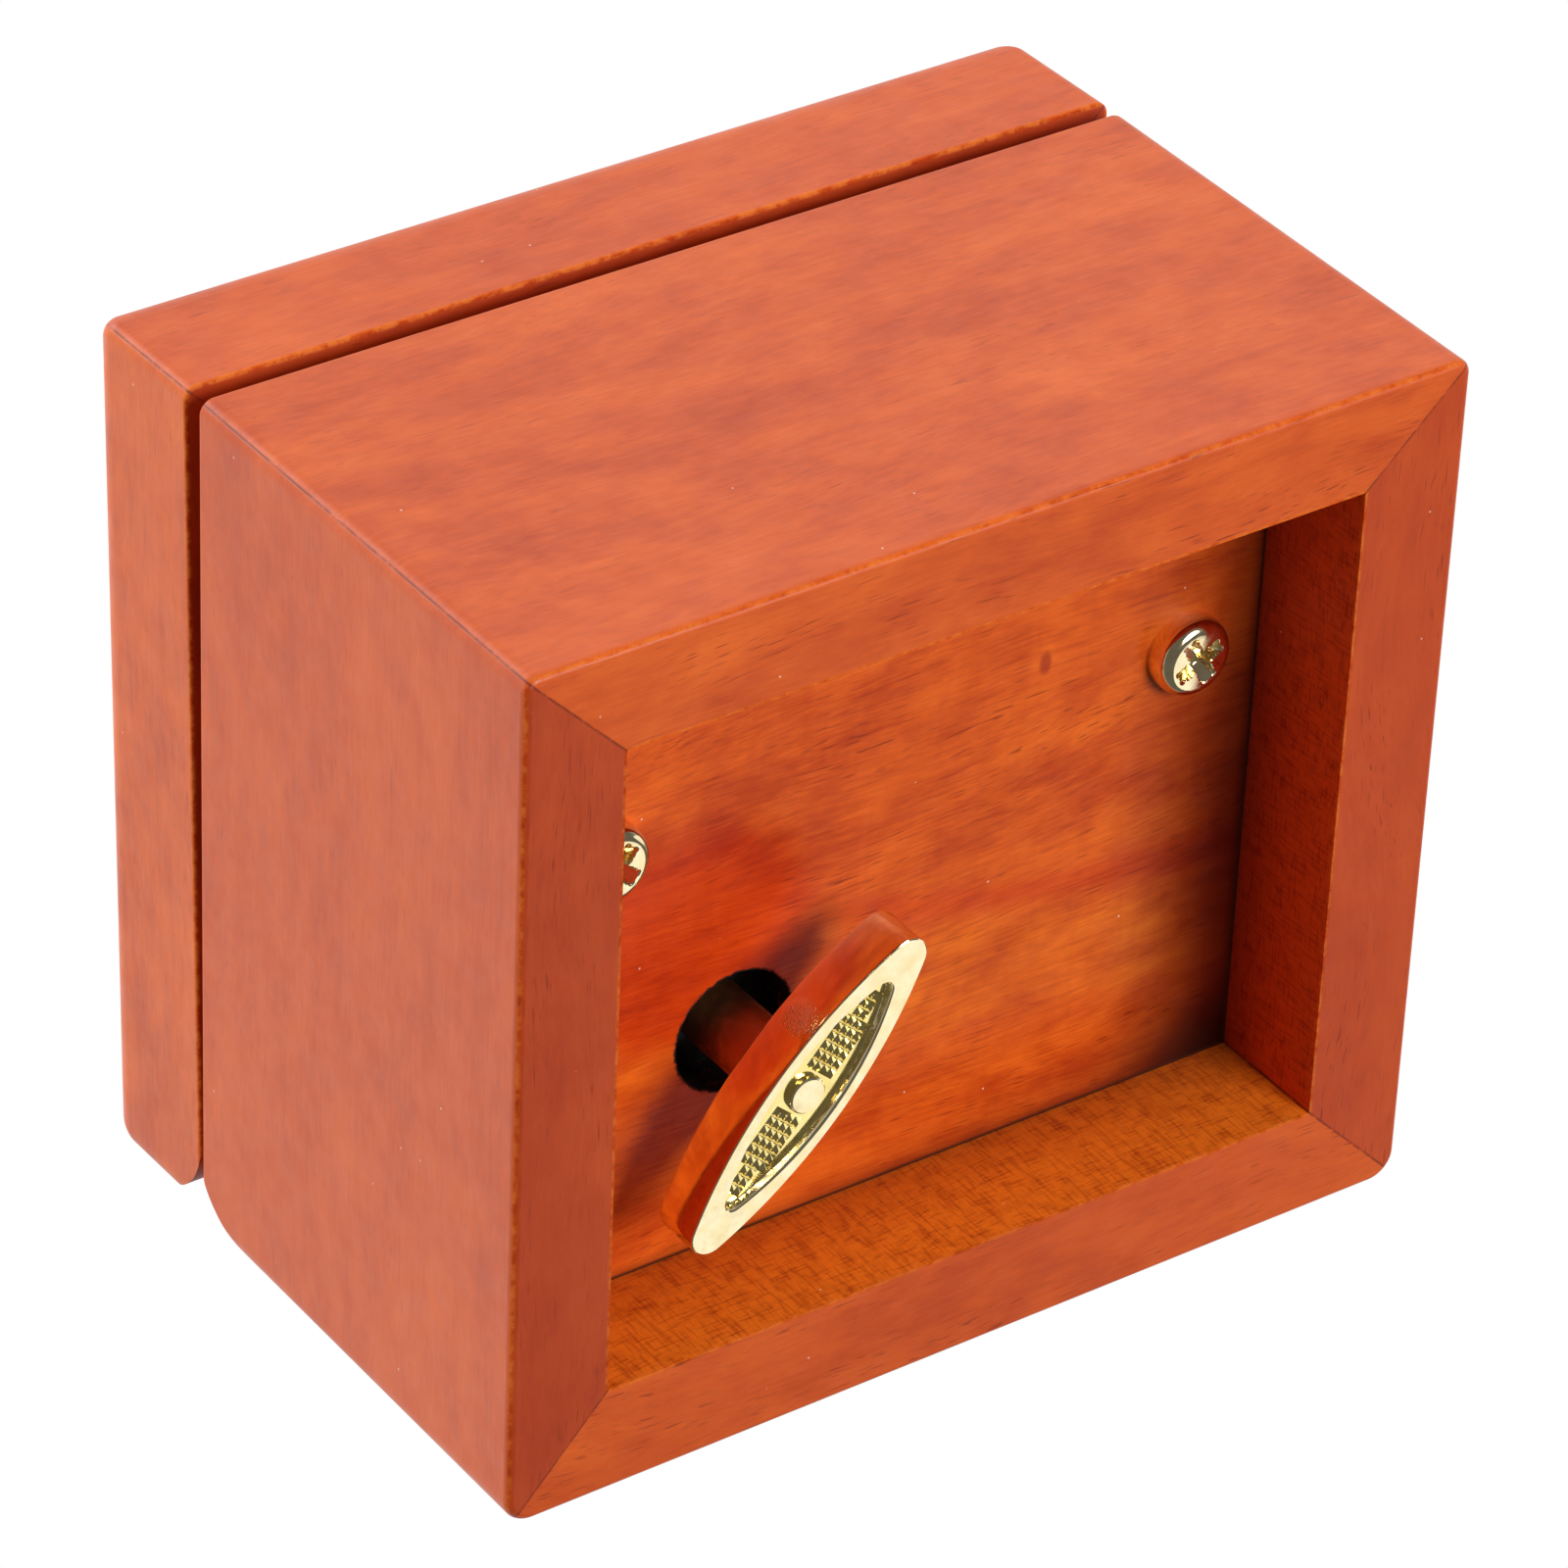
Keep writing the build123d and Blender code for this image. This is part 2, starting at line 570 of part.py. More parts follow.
def mainspring():
    """Flat spiral spring: half rings whose radius grows by half a pitch each time."""
    pitch = 0.84
    thick = 0.3
    spring = None
    for k in range(12):
        radius = CORE_R + 0.35 + k * pitch / 2
        ring = Circle(radius + thick) - Circle(radius)
        side = 1 if k % 2 == 0 else -1
        half = ring & (Pos(0, side * 10) * Rectangle(40, 20))
        shift = Pos(0 if k % 2 == 0 else -pitch / 2, 0)
        spring = shift * half if spring is None else spring + shift * half
    return Pos(WIND_X, WIND_Y, BARREL_LOW + 1.4) * extrude(spring, BARREL_HIGH - BARREL_LOW - 2.6)


# ---------------------------------------------------------------- music cylinder
def melody_cylinder():
    shell = lengthwise(CYL_Y, CYL_Z, CYL_R, CYL_START, CYL_END)
    shell -= lengthwise(CYL_Y, CYL_Z, CYL_R - 0.7, CYL_START + 0.8, CYL_END - 0.8)
    return shell - lengthwise(CYL_Y, CYL_Z, CYL_SHAFT_R, CYL_START - 1, CYL_END + 1)


def cylinder_pins():
    """The tune: one or two notes on each beat, spread over the tracks of the comb."""
    pin = Pos(0, 0, CYL_R + PIN_HEIGHT / 2) * Cylinder(PIN_R, PIN_HEIGHT)
    pins = []
    for beat in range(BEATS):
        notes = {beat * 7 % NOTES}
        if beat % 2:
            notes.add((beat * 5 + 3) % NOTES)
        for note in notes:
            x = NOTE_START + note * NOTE_PITCH
            pins.append(Pos(x, CYL_Y, CYL_Z) * Rot(beat * 360 / BEATS, 0, 0) * pin)
    return solids_of(pins)


def cylinder_shaft():
    return lengthwise(CYL_Y, CYL_Z, CYL_SHAFT_R, WIND_X + CROWN_IN + 0.1, RIGHT_PLATE[1] + 0.3)


def drive_pinion():
    """Gear that the barrel's crown teeth turn; one of its teeth points straight down."""
    return gear_on_x(
        CYL_Y, CYL_Z, WIND_X + CROWN_IN + 0.15, WIND_X + CROWN_OUT - 0.15, CYL_SHAFT_R,
        teeth=PINION_TEETH, pitch_r=PINION_R, addendum=0.45, dedendum=0.6, width=0.34, phase=-90,
    )


def cylinder_wheel():
    return gear_on_x(
        CYL_Y, CYL_Z, CYL_END + 0.3, CYL_END + 1.2, CYL_SHAFT_R,
        teeth=WHEEL_TEETH, pitch_r=WHEEL_R, addendum=0.4, dedendum=0.6, width=0.38, phase=TRAIN_ANGLE,
    )


# ---------------------------------------------------------------- air brake
def idler_arbor():
    return lengthwise(IDLER_Y, IDLER_Z, IDLER_ARBOR_R, CYL_END + 0.1, CHEEK[1] - 0.1)


def idler_pinion():
    half_tooth = 180 / IDLER_TEETH
    return gear_on_x(
        IDLER_Y, IDLER_Z, CYL_END + 0.15, CYL_END + 1.3, IDLER_ARBOR_R,
        teeth=IDLER_TEETH, pitch_r=IDLER_R, addendum=0.4, dedendum=0.6, width=0.34,
        phase=180 + TRAIN_ANGLE + half_tooth,
    )


def worm_wheel():
    return gear_on_x(
        IDLER_Y, IDLER_Z, WORM_X - 0.6, WORM_X + 0.6, IDLER_ARBOR_R,
        teeth=WORM_WHEEL_TEETH, pitch_r=WORM_WHEEL_R, addendum=0.3, dedendum=0.6, width=0.32, phase=180,
    )


def worm():
    """Endless screw: one right-hand thread, whose groove faces the worm wheel's tooth."""
    root = 0.85
    crest = WORM_R + 0.3
    turns = 3.5
    thread_low = IDLER_Z + WORM_PITCH / 4 - 2 * WORM_PITCH
    path = Helix(pitch=WORM_PITCH, height=turns * WORM_PITCH, radius=root)
    ridge = Polyline((-0.1, -0.32), (crest - root, -0.16), (crest - root, 0.16), (-0.1, 0.32), close=True)
    section = Plane(origin=(root, 0, 0), x_dir=(1, 0, 0), z_dir=(0, -1, 0)) * make_face(ridge)
    thread = sweep(section, path=path, is_frenet=True)
    shaft = upright(0, 0, WORM_SHAFT_R, PLATE_TOP + 0.15, WORM_TIP)
    shaft += upright(0, 0, root, thread_low - 1.0, thread_low + turns * WORM_PITCH + 1.0)
    return Pos(WORM_X, WORM_Y) * (shaft + Pos(0, 0, thread_low) * thread)


def air_fan():
    """Two-bladed air brake on top of the worm."""
    fan = upright(0, 0, 1.0, FAN_LOW, FAN_HIGH)
    fan += block((-FAN_R, FAN_R), (-0.25, 0.25), (FAN_LOW + 0.3, FAN_HIGH))
    fan -= upright(0, 0, WORM_SHAFT_R, FAN_LOW - 1, FAN_HIGH + 1)
    return Pos(WORM_X, WORM_Y) * Rot(0, 0, 60) * fan


# ---------------------------------------------------------------- stop
def stop_guide():
    """Small turned pillar on the bedplate, in which the stop rod slides."""
    pillar = upright(STOP_X, STOP_Y, 1.9, PLATE_TOP, PLATE_TOP + 1.0)
    pillar += upright(STOP_X, STOP_Y, 1.5, PLATE_TOP, GUIDE_TOP)
    return pillar - upright(STOP_X, STOP_Y, STOP_R + RUN, PLATE_TOP, GUIDE_TOP + 1)


def stop_rod():
    """Rod that the lid presses down, with the arm that stops the air brake."""
    reach = Vector(WORM_X - STOP_X, WORM_Y - STOP_Y, 0)
    rod = upright(0, 0, STOP_R, PLATE_TOP + STOP_TRAVEL + 0.6, rod_top())
    rod = fillet(rod.edges().sort_by(Axis.Z)[-1], 0.4)
    rod += upright(0, 0, 1.4, COLLAR_Z, COLLAR_Z + 0.6)
    bar = Pos(reach.length / 2, 0, ARM_LOW + ARM_THICK / 2) * Box(reach.length, 1.6, ARM_THICK)
    bar += upright(0, 0, 1.3, ARM_LOW, ARM_LOW + ARM_THICK)
    bar += upright(reach.length, 0, 0.8, ARM_LOW, ARM_LOW + ARM_THICK)
    turn = Vector(1, 0, 0).get_signed_angle(reach, Vector(0, 0, 1))
    return Pos(STOP_X, STOP_Y) * (rod + Rot(0, 0, turn) * bar)


def rod_top():
    """Height at which the rod meets the underside of the lid panel where it rests."""
    inside = LID_BOTTOM + LID_THICK - LID_PANEL - HINGE_Z
    back = HINGE_Y - STOP_Y
    return HINGE_Z + inside * cos(radians(AJAR)) + back * sin(radians(AJAR)) - 0.08


def brake_pad():
    return upright(WORM_X, WORM_Y, 0.75, PAD_LOW, ARM_LOW)


def stop_spring():
    return coil(STOP_X, STOP_Y, 1.1, 0.15, GUIDE_TOP, COLLAR_Z, 5)


# ---------------------------------------------------------------- assembly
def music_box():
    """Every piece of the box by the name of its node."""
    boards = case_boards()
    rails = lid_boards()
    both = (-HINGE_X, HINGE_X)
    pieces = {f"{side}_board": board for side, board in boards.items()}
    pieces |= {f"lid_{side}_rail": ajar(rail) for side, rail in rails.items()}
    pieces |= {
        "movement_panel": movement_panel(),
        "movement_screws": movement_screws(),
        "lid_panel": ajar(lid_panel()),
        "hinge_body_leaves": solids_of(
            hinge_half(x, BODY_LEAF, (0, 2), (1,), BODY_HEIGHT, True) for x in both),
        "hinge_lid_leaves": solids_of(
            ajar(hinge_half(x, LID_LEAF, (1,), (0, 2), LID_BOTTOM, False)) for x in both),
        "hinge_pins": hinge_pins(),
        "hinge_body_brads": solids_of(nail for x in both for nail in brads(x, BODY_HEIGHT, True)),
        "hinge_lid_brads": solids_of(ajar(nail) for x in both for nail in brads(x, LID_BOTTOM, False)),
        "bedplate": bedplate(),
        "cylinder_bearing": cylinder_bearing(),
        "governor_plate": governor_plate(),
        "governor_cheek": governor_cheek(),
        "comb": comb(),
        "comb_screws": comb_screws(),
        "barrel_bridge": barrel_bridge(),
        "bridge_screws": bridge_screws(),
        "winding_key": winding_key(),
        "winding_arbor": winding_arbor(),
        "arbor_clip": arbor_clip(),
        "spring_barrel": spring_barrel(),
        "barrel_cap": barrel_cap(),
        "mainspring": mainspring(),
        "melody_cylinder": melody_cylinder(),
        "cylinder_pins": cylinder_pins(),
        "cylinder_shaft": cylinder_shaft(),
        "drive_pinion": drive_pinion(),
        "cylinder_wheel": cylinder_wheel(),
        "idler_arbor": idler_arbor(),
        "idler_pinion": idler_pinion(),
        "worm_wheel": worm_wheel(),
        "worm": worm(),
        "air_fan": air_fan(),
        "stop_guide": stop_guide(),
        "stop_rod": stop_rod(),
        "brake_pad": brake_pad(),
        "stop_spring": stop_spring(),
    }
    return pieces


os.makedirs("parts", exist_ok=True)
for name, piece in music_box().items():
    export_step(piece, f"parts/{name}.step")
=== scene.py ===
"""Looks of the wooden music box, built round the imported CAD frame.

The box stands on its rim with +Z up, its front at -Y and its hinges at +Y. Shapes and patterns
are worked out in millimetres, and turned into metres where a mesh is made."""

import json
import math

import bmesh
import bpy
from mathutils import Matrix, Vector

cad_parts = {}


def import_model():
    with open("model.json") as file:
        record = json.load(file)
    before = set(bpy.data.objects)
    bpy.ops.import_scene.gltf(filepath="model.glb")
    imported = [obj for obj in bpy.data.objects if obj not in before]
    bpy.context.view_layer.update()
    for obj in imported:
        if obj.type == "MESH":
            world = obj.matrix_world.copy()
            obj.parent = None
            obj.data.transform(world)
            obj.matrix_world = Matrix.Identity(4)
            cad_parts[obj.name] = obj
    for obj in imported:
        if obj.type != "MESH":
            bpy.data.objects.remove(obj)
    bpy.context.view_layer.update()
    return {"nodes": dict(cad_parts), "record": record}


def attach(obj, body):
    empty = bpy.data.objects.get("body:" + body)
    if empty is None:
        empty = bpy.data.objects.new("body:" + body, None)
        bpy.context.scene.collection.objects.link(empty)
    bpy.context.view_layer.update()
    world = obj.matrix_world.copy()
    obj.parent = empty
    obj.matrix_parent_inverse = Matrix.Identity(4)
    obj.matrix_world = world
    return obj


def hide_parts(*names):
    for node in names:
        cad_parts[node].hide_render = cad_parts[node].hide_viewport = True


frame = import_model()
nodes = frame["nodes"]

# ---------------------------------------------------------------- sizes, in millimetres
MM = 0.001
LID = ("lid_front_rail", "lid_back_rail", "lid_left_rail", "lid_right_rail")
CASE_BOX = ((-32.0, -28.8, 0.0), (32.0, 28.8, 33.4))
RECESS = ((-25.35, -22.1), (24.9, 21.5))    # inner faces of the four boards
LID_BOX = ((-32.0, -28.8, 33.5), (32.0, 28.4, 44.35))   # with the lid closed
HINGE = (0.0, 25.2, 33.55)                  # a point on the lid's hinge axis
AJAR = math.radians(1.3)                    # how far the lid stands open at rest
PANEL_Z = 8.4                               # underside of the movement panel
KEY_HOLE_R = 4.0
WIND = (-11.55, 6.75)                       # winding axis
KEY_ANGLE = math.radians(132.0)             # direction of the wing, from +X
KEY_FACE = 0.8                              # underside of the wing
KEY_WING = 3.4                              # thickness of the wing
STEM_TOP = 10.9
SCREWS = ((-21.1, -8.8), (19.3, -8.8))      # centres of the two movement screws
SCREW_TURNS = (math.radians(38), math.radians(62))      # how their cross recesses lie
HEAD_R = 2.55
HEAD_HEIGHT = 1.7
SHANK_R = 0.49 * HEAD_R
SHANK_LENGTH = 6.5


# ---------------------------------------------------------------- shader helper
class Graph:
    """A material whose shader nodes are added with short calls."""

    def __init__(self, name):
        self.material = bpy.data.materials.new(name)
        self.material.use_nodes = True
        self.tree = self.material.node_tree
        self.bsdf = self.tree.nodes["Principled BSDF"]
        self.output = self.tree.nodes["Material Output"]

    def put(self, socket, value):
        """Link a socket to another one, or set its constant."""
        if isinstance(value, bpy.types.NodeSocket):
            self.tree.links.new(value, socket)
        else:
            socket.default_value = value

    def node(self, kind, **settings):
        made = self.tree.nodes.new(kind)
        for key, value in settings.items():
            setattr(made, key, value)
        return made

    def math(self, operation, a, b=0.0):
        made = self.node("ShaderNodeMath", operation=operation)
        self.put(made.inputs[0], a)
        self.put(made.inputs[1], b)
        return made.outputs[0]

    def chain(self, operation, values):
        total = values[0]
        for value in values[1:]:
            total = self.math(operation, total, value)
        return total

    def add(self, *values):
        return self.chain("ADD", values)

    def times(self, *values):
        return self.chain("MULTIPLY", values)

    def most(self, *values):
        return self.chain("MAXIMUM", values)

    def least(self, *values):
        return self.chain("MINIMUM", values)

    def away(self, a, b):
        """Distance between two values."""
        return self.math("ABSOLUTE", self.math("SUBTRACT", a, b))

    def vector(self, operation, a, b=(0.0, 0.0, 0.0)):
        made = self.node("ShaderNodeVectorMath", operation=operation)
        self.put(made.inputs[0], a)
        self.put(made.inputs[1], b)
        return made.outputs["Value" if operation in ("DOT_PRODUCT", "LENGTH") else "Vector"]

    def split(self, vector):
        made = self.node("ShaderNodeSeparateXYZ")
        self.put(made.inputs[0], vector)
        return made.outputs

    def join(self, x, y, z):
        made = self.node("ShaderNodeCombineXYZ")
        for socket, value in zip(made.inputs, (x, y, z)):
            self.put(socket, value)
        return made.outputs[0]

    def millimetres(self):
        """The piece's own coordinates, in millimetres."""
        place = self.node("ShaderNodeTexCoord").outputs["Object"]
        return self.vector("MULTIPLY", place, (1000.0, 1000.0, 1000.0))

    def swung_shut(self, place):
        """Coordinates of a piece of the resting lid as if the lid was closed."""
        made = self.node("ShaderNodeVectorRotate", rotation_type="X_AXIS")
        self.put(made.inputs["Vector"], place)
        made.inputs["Center"].default_value = HINGE
        made.inputs["Angle"].default_value = AJAR
        return made.outputs[0]

    def facing(self, direction):
        """1 where the surface faces a direction of the piece, else 0."""
        normal = self.node("ShaderNodeTexCoord").outputs["Normal"]
        return self.span(self.vector("DOT_PRODUCT", normal, direction), 0.5, 0.8)

    def noise(self, vector, scale=1.0, detail=2.0, roughness=0.5):
        made = self.node("ShaderNodeTexNoise")
        self.put(made.inputs["Vector"], vector)
        made.inputs["Scale"].default_value = scale
        made.inputs["Detail"].default_value = detail
        made.inputs["Roughness"].default_value = roughness
        return made.outputs[0]

    def cells(self, vector, scale):
        """Distance to the nearest of some scattered points."""
        made = self.node("ShaderNodeTexVoronoi")
        self.put(made.inputs["Vector"], vector)
        made.inputs["Scale"].default_value = scale
        return made.outputs["Distance"]

    def span(self, value, low, high, to_low=0.0, to_high=1.0):
        """Map low..high smoothly to to_low..to_high, clamped."""
        made = self.node("ShaderNodeMapRange", interpolation_type="SMOOTHSTEP", clamp=True)
        for socket, number in zip(made.inputs, (value, low, high, to_low, to_high)):
            self.put(socket, number)
        return made.outputs[0]

    def ramp(self, value, *stops):
        """Colours at given places between 0 and 1."""
        made = self.node("ShaderNodeValToRGB")
        elements = made.color_ramp.elements
        while len(elements) < len(stops):
            elements.new(1.0)
        for element, (position, color) in zip(elements, stops):
            element.position = position
            element.color = (*color, 1.0)
        self.put(made.inputs[0], value)
        return made.outputs[0]

    def mix(self, share, a, b, blend="MIX"):
        made = self.node("ShaderNodeMix", data_type="RGBA", blend_type=blend)
        for socket, value in zip((made.inputs[0], made.inputs[6], made.inputs[7]), (share, a, b)):
            if isinstance(value, tuple):
                value = (*value, 1.0)
            self.put(socket, value)
        return made.outputs[2]

    def tint(self, share, color, by):
        """Multiply a colour, in the share given."""
        return self.mix(share, color, by, "MULTIPLY")

    def bump(self, height, distance, strength, under=None):
        """Tilt the surface by a height pattern, on top of the bump under it."""
        made = self.node("ShaderNodeBump")
        self.put(made.inputs["Height"], height)
        made.inputs["Distance"].default_value = distance
        made.inputs["Strength"].default_value = strength
        if under is not None:
            self.put(made.inputs["Normal"], under)
        return made.outputs[0]

    def finish(self, **inputs):
        """Set the shader's own sockets by name, with _ for spaces."""
        for key, value in inputs.items():
            if isinstance(value, tuple):
                value = (*value, 1.0)
            self.put(self.bsdf.inputs[key.replace("_", " ")], value)
        return self.material


# ---------------------------------------------------------------- wood
DEEP = (0.46, 0.046, 0.004)
STAIN = (0.64, 0.092, 0.009)
GLOW = (0.78, 0.140, 0.015)
EDGE = (0.86, 0.250, 0.045)                 # stain worn thin on an edge
PORE = (0.20, 0.015, 0.002)
GLUE = (0.16, 0.016, 0.004)
SPECK = (0.95, 0.80, 0.66)
NICK = (0.12, 0.012, 0.004)
CHAR = (0.006, 0.002, 0.001)                # cut edge of the key hole
SAWN_RED = (0.74, 0.075, 0.003)
SAWN_AMBER = (0.88, 0.200, 0.008)
PLAIN = (1.0, 1.0, 1.0)                     # a tint that changes nothing
DOWN = (0.0, 0.0, -1.0)


def box_edges(g, place, box):
    """1 on the outer edges of a box, fading out over a few tenths."""
    low, high = box
    middle = tuple((a + b) / 2 for a, b in zip(low, high))
    half = tuple((b - a) / 2 for a, b in zip(low, high))
    away = g.vector("ABSOLUTE", g.vector("SUBTRACT", place, middle))
    x, y, z = g.split(g.vector("SUBTRACT", away, half))
    most = g.most(x, y, z)
    least = g.least(x, y, z)
    second = g.math("SUBTRACT", g.add(x, y, z), g.add(most, least))
    return g.span(second, -0.36, -0.13)


def recess_depth(g, place):
    """Distance inside (negative) or outside (positive) the inner faces of the boards."""
    (x0, y0), (x1, y1) = RECESS
    x, y, _ = g.split(place)
    across = g.math("SUBTRACT", g.away(x, (x0 + x1) / 2), (x1 - x0) / 2)
    along = g.math("SUBTRACT", g.away(y, (y0 + y1) / 2), (y1 - y0) / 2)
    return g.most(across, along)


def recess_mouth(g, place, height):
    """1 along the edge where the boards' inner faces meet their end at this height."""
    gap = g.math("ABSOLUTE", recess_depth(g, place))
    _, _, z = g.split(place)
    return g.span(g.most(gap, g.away(z, height)), 0.08, 0.26, 1.0, 0.0)


def mitre_lines(g, place, box):
    """1 on the four glue lines between mitred boards."""
    (x0, y0), (x1, y1) = RECESS
    low, high = box
    lines = []
    x, y, _ = g.split(place)
    for outer_x, inner_x in ((low[0], x0), (high[0], x1)):
        for outer_y, inner_y in ((low[1], y0), (high[1], y1)):
            run = Vector((inner_x - outer_x, inner_y - outer_y)).normalized()
            side = g.math("SUBTRACT", g.times(x, run.y), g.times(y, run.x))
            near = g.away(side, outer_x * run.y - outer_y * run.x)
            past = g.math("SUBTRACT", g.away(x, outer_x), abs(inner_x - outer_x) + 0.2)
            lines.append(g.most(near, past))
    return g.span(g.least(*lines), 0.03, 0.11, 1.0, 0.0)


class Grain:
    """Coordinates that follow the fibres of one board, and the patterns drawn along them."""

    def __init__(self, g, place, axis, seed):
        self.g = g
        x, y, z = g.split(place)
        along, across, through = {"X": (x, y, z), "Y": (y, x, z)}[axis]
        self.along = g.add(along, seed * 31.7)
        slow = g.join(g.times(self.along, 0.02), g.times(across, 0.05), g.times(through, 0.05))
        drift = g.times(g.math("SUBTRACT", g.noise(slow), 0.5), 9.0)
        self.across = g.add(across, drift)
        self.through = g.add(through, g.times(drift, 0.7))

    def streaks(self, length, width, detail=2.0, roughness=0.5):
        g = self.g
        parts = (g.times(self.along, 1 / length), g.times(self.across, 1 / width),
                 g.times(self.through, 1 / width))
        return g.noise(g.join(*parts), 1.0, detail, roughness)

    def tone(self, calm):
        """Light and dark of the stain round 0.5; calm boards vary less."""
        g = self.g
        layers = (
            (self.streaks(26.0, 7.0), 0.80),
            (self.streaks(5.0, 2.6, 4.0, 0.62), 1.05),
            (self.streaks(9.0, 0.6, 3.0, 0.6), 0.30),
            (self.streaks(2.5, 0.20, 2.0), 0.38),
        )
        parts = [g.times(g.math("SUBTRACT", pattern, 0.5), weight * calm) for pattern, weight in layers]
        return g.add(0.5, *parts)

    def dashes(self, amount):
        """Short dark pores, crowded in some places."""
        g = self.g
        crowd = g.span(self.streaks(16.0, 3.5), 0.38, 0.66, 0.1, 1.0)
        return g.times(g.span(self.streaks(1.9, 0.12, 0.0), 0.66, 0.80), crowd, amount)


def flaws(g, place, color, seed):
    """Tiny pale specks and a few dark nicks in the lacquer."""
    speck = g.span(g.cells(place, 0.30), 0.014, 0.030, 1.0, 0.0)
    color = g.mix(g.times(speck, 0.5), color, SPECK)
    moved = g.vector("ADD", place, (seed * 7.3, seed * 3.1, seed * 5.7))
    nick = g.span(g.cells(moved, 0.10), 0.010, 0.022, 1.0, 0.0)
    return g.mix(g.times(nick, 0.8), color, NICK)


def lacquer(g, place, color, height, extra, worn):
    """Satin lacquer that follows the fibres and sinks a little into a leathery skin.

    extra is added to its roughness, and worn is how far it is rubbed away."""
    normal = g.bump(height, 0.00001, 0.5)
    normal = g.bump(g.noise(place, 1.1, 3.0, 0.6), 0.00003, 0.5, normal)
    normal = g.bump(g.noise(place, 0.22, 2.0), 0.00020, 0.25, normal)
    rough = g.add(g.span(g.noise(place, 0.6, 3.0), 0.3, 0.7, 0.36, 0.44), extra)
    shine = g.span(worn, 0.0, 1.0, 0.5, 0.08)
    return g.finish(Base_Color=color, Roughness=rough, Normal=normal, IOR=1.44, Specular_IOR_Level=shine)


def board_wood(name, axis, seed, calm, pores, rim, inner, inward):
    """Red-orange stained board of the case.

    rim tints the end that the box stands on, as painted shade set board by board. inner is the colour
    of the rough-sawn inner face, which looks in the direction inward."""
    g = Graph(name)
    place = g.millimetres()
    grain = Grain(g, place, axis, seed)
    color = g.ramp(grain.tone(calm), (0.25, DEEP), (0.50, STAIN), (0.75, GLOW))
    color = g.mix(grain.dashes(pores), color, PORE)
    # Painted shade: the faces that look down (the rim) are multiplied by rim.
    underside = g.facing(DOWN)
    color = g.tint(underside, color, rim)
    color = g.mix(g.times(underside, grain.dashes(0.5)), color, (0.18, 0.014, 0.002))

    sawn = g.facing(inward)
    hatch = g.noise(g.vector("MULTIPLY", place, (4.5, 4.5, 0.5)), 1.0, 2.0, 0.6)
    fibres = grain.streaks(1.6, 0.16, 2.0)
    fluff = g.noise(place, 0.8, 4.0, 0.7)
    scores = g.add(g.span(hatch, 0.48, 0.66, 0.0, 0.45), g.span(fibres, 0.52, 0.68, 0.0, 0.5))
    marks = g.add(scores, g.span(fluff, 0.4, 0.7, 0.0, 0.4))
    rough_color = g.mix(marks, inner, tuple(v * f for v, f in zip(inner, (0.55, 0.36, 0.3))))
    _, _, z = g.split(place)
    # Painted shade: the sawn inner faces darken deeper into the recess, towards the panel.
    rough_color = g.tint(g.span(z, 3.0, 8.4), rough_color, (0.72, 0.60, 0.55))
    color = g.mix(sawn, color, rough_color)

    broken = g.noise(place, 0.9, 5.0, 0.75)
    edge = g.most(box_edges(g, place, CASE_BOX), recess_mouth(g, place, 0.0))
    color = g.mix(g.times(edge, g.span(broken, 0.42, 0.62), 0.42), color, EDGE)
    color = g.mix(g.times(edge, g.span(broken, 0.46, 0.34), 0.45), color, (0.22, 0.02, 0.002))
    glue = g.times(mitre_lines(g, place, CASE_BOX), g.span(broken, 0.30, 0.55))
    color = g.mix(g.times(glue, 0.75), color, GLUE)
    color = flaws(g, place, color, seed)

    height = g.add(g.times(grain.streaks(5.0, 0.18), 0.5), g.times(sawn, fluff, 3.0), g.times(glue, -2.0))
    return lacquer(g, place, color, height, g.times(sawn, 0.24), g.most(edge, g.times(sawn, 0.5)))


def lid_wood(name, axis, seed, shade, calm):
    """The same stain on the lid, tinted by shade; its sawn underside, seen in the seam between lid and case,
    is darkened as painted shade.
    """
    g = Graph(name)
    place = g.swung_shut(g.millimetres())
    grain = Grain(g, place, axis, seed)
    color = g.ramp(grain.tone(calm), (0.25, DEEP), (0.50, STAIN), (0.75, GLOW))
    color = g.tint(1.0, color, shade)
    color = g.mix(grain.dashes(0.35), color, PORE)
    # Painted shade: the faces that look down, into the seam, are darkened.
    below = g.facing(DOWN)
    color = g.tint(below, color, (0.62, 0.42, 0.30))
    broken = g.noise(place, 0.9, 5.0, 0.75)
    edge = box_edges(g, place, LID_BOX)
    color = g.mix(g.times(edge, g.span(broken, 0.40, 0.60), 0.5), color, EDGE)
    glue = g.times(mitre_lines(g, place, LID_BOX), g.span(broken, 0.30, 0.55))
    color = g.mix(g.times(glue, 0.7), color, GLUE)
    color = flaws(g, place, color, seed)
    height = g.add(g.times(grain.streaks(5.0, 0.18), 0.5), g.times(glue, -2.0))
    return lacquer(g, place, color, height, g.times(below, 0.15), edge)


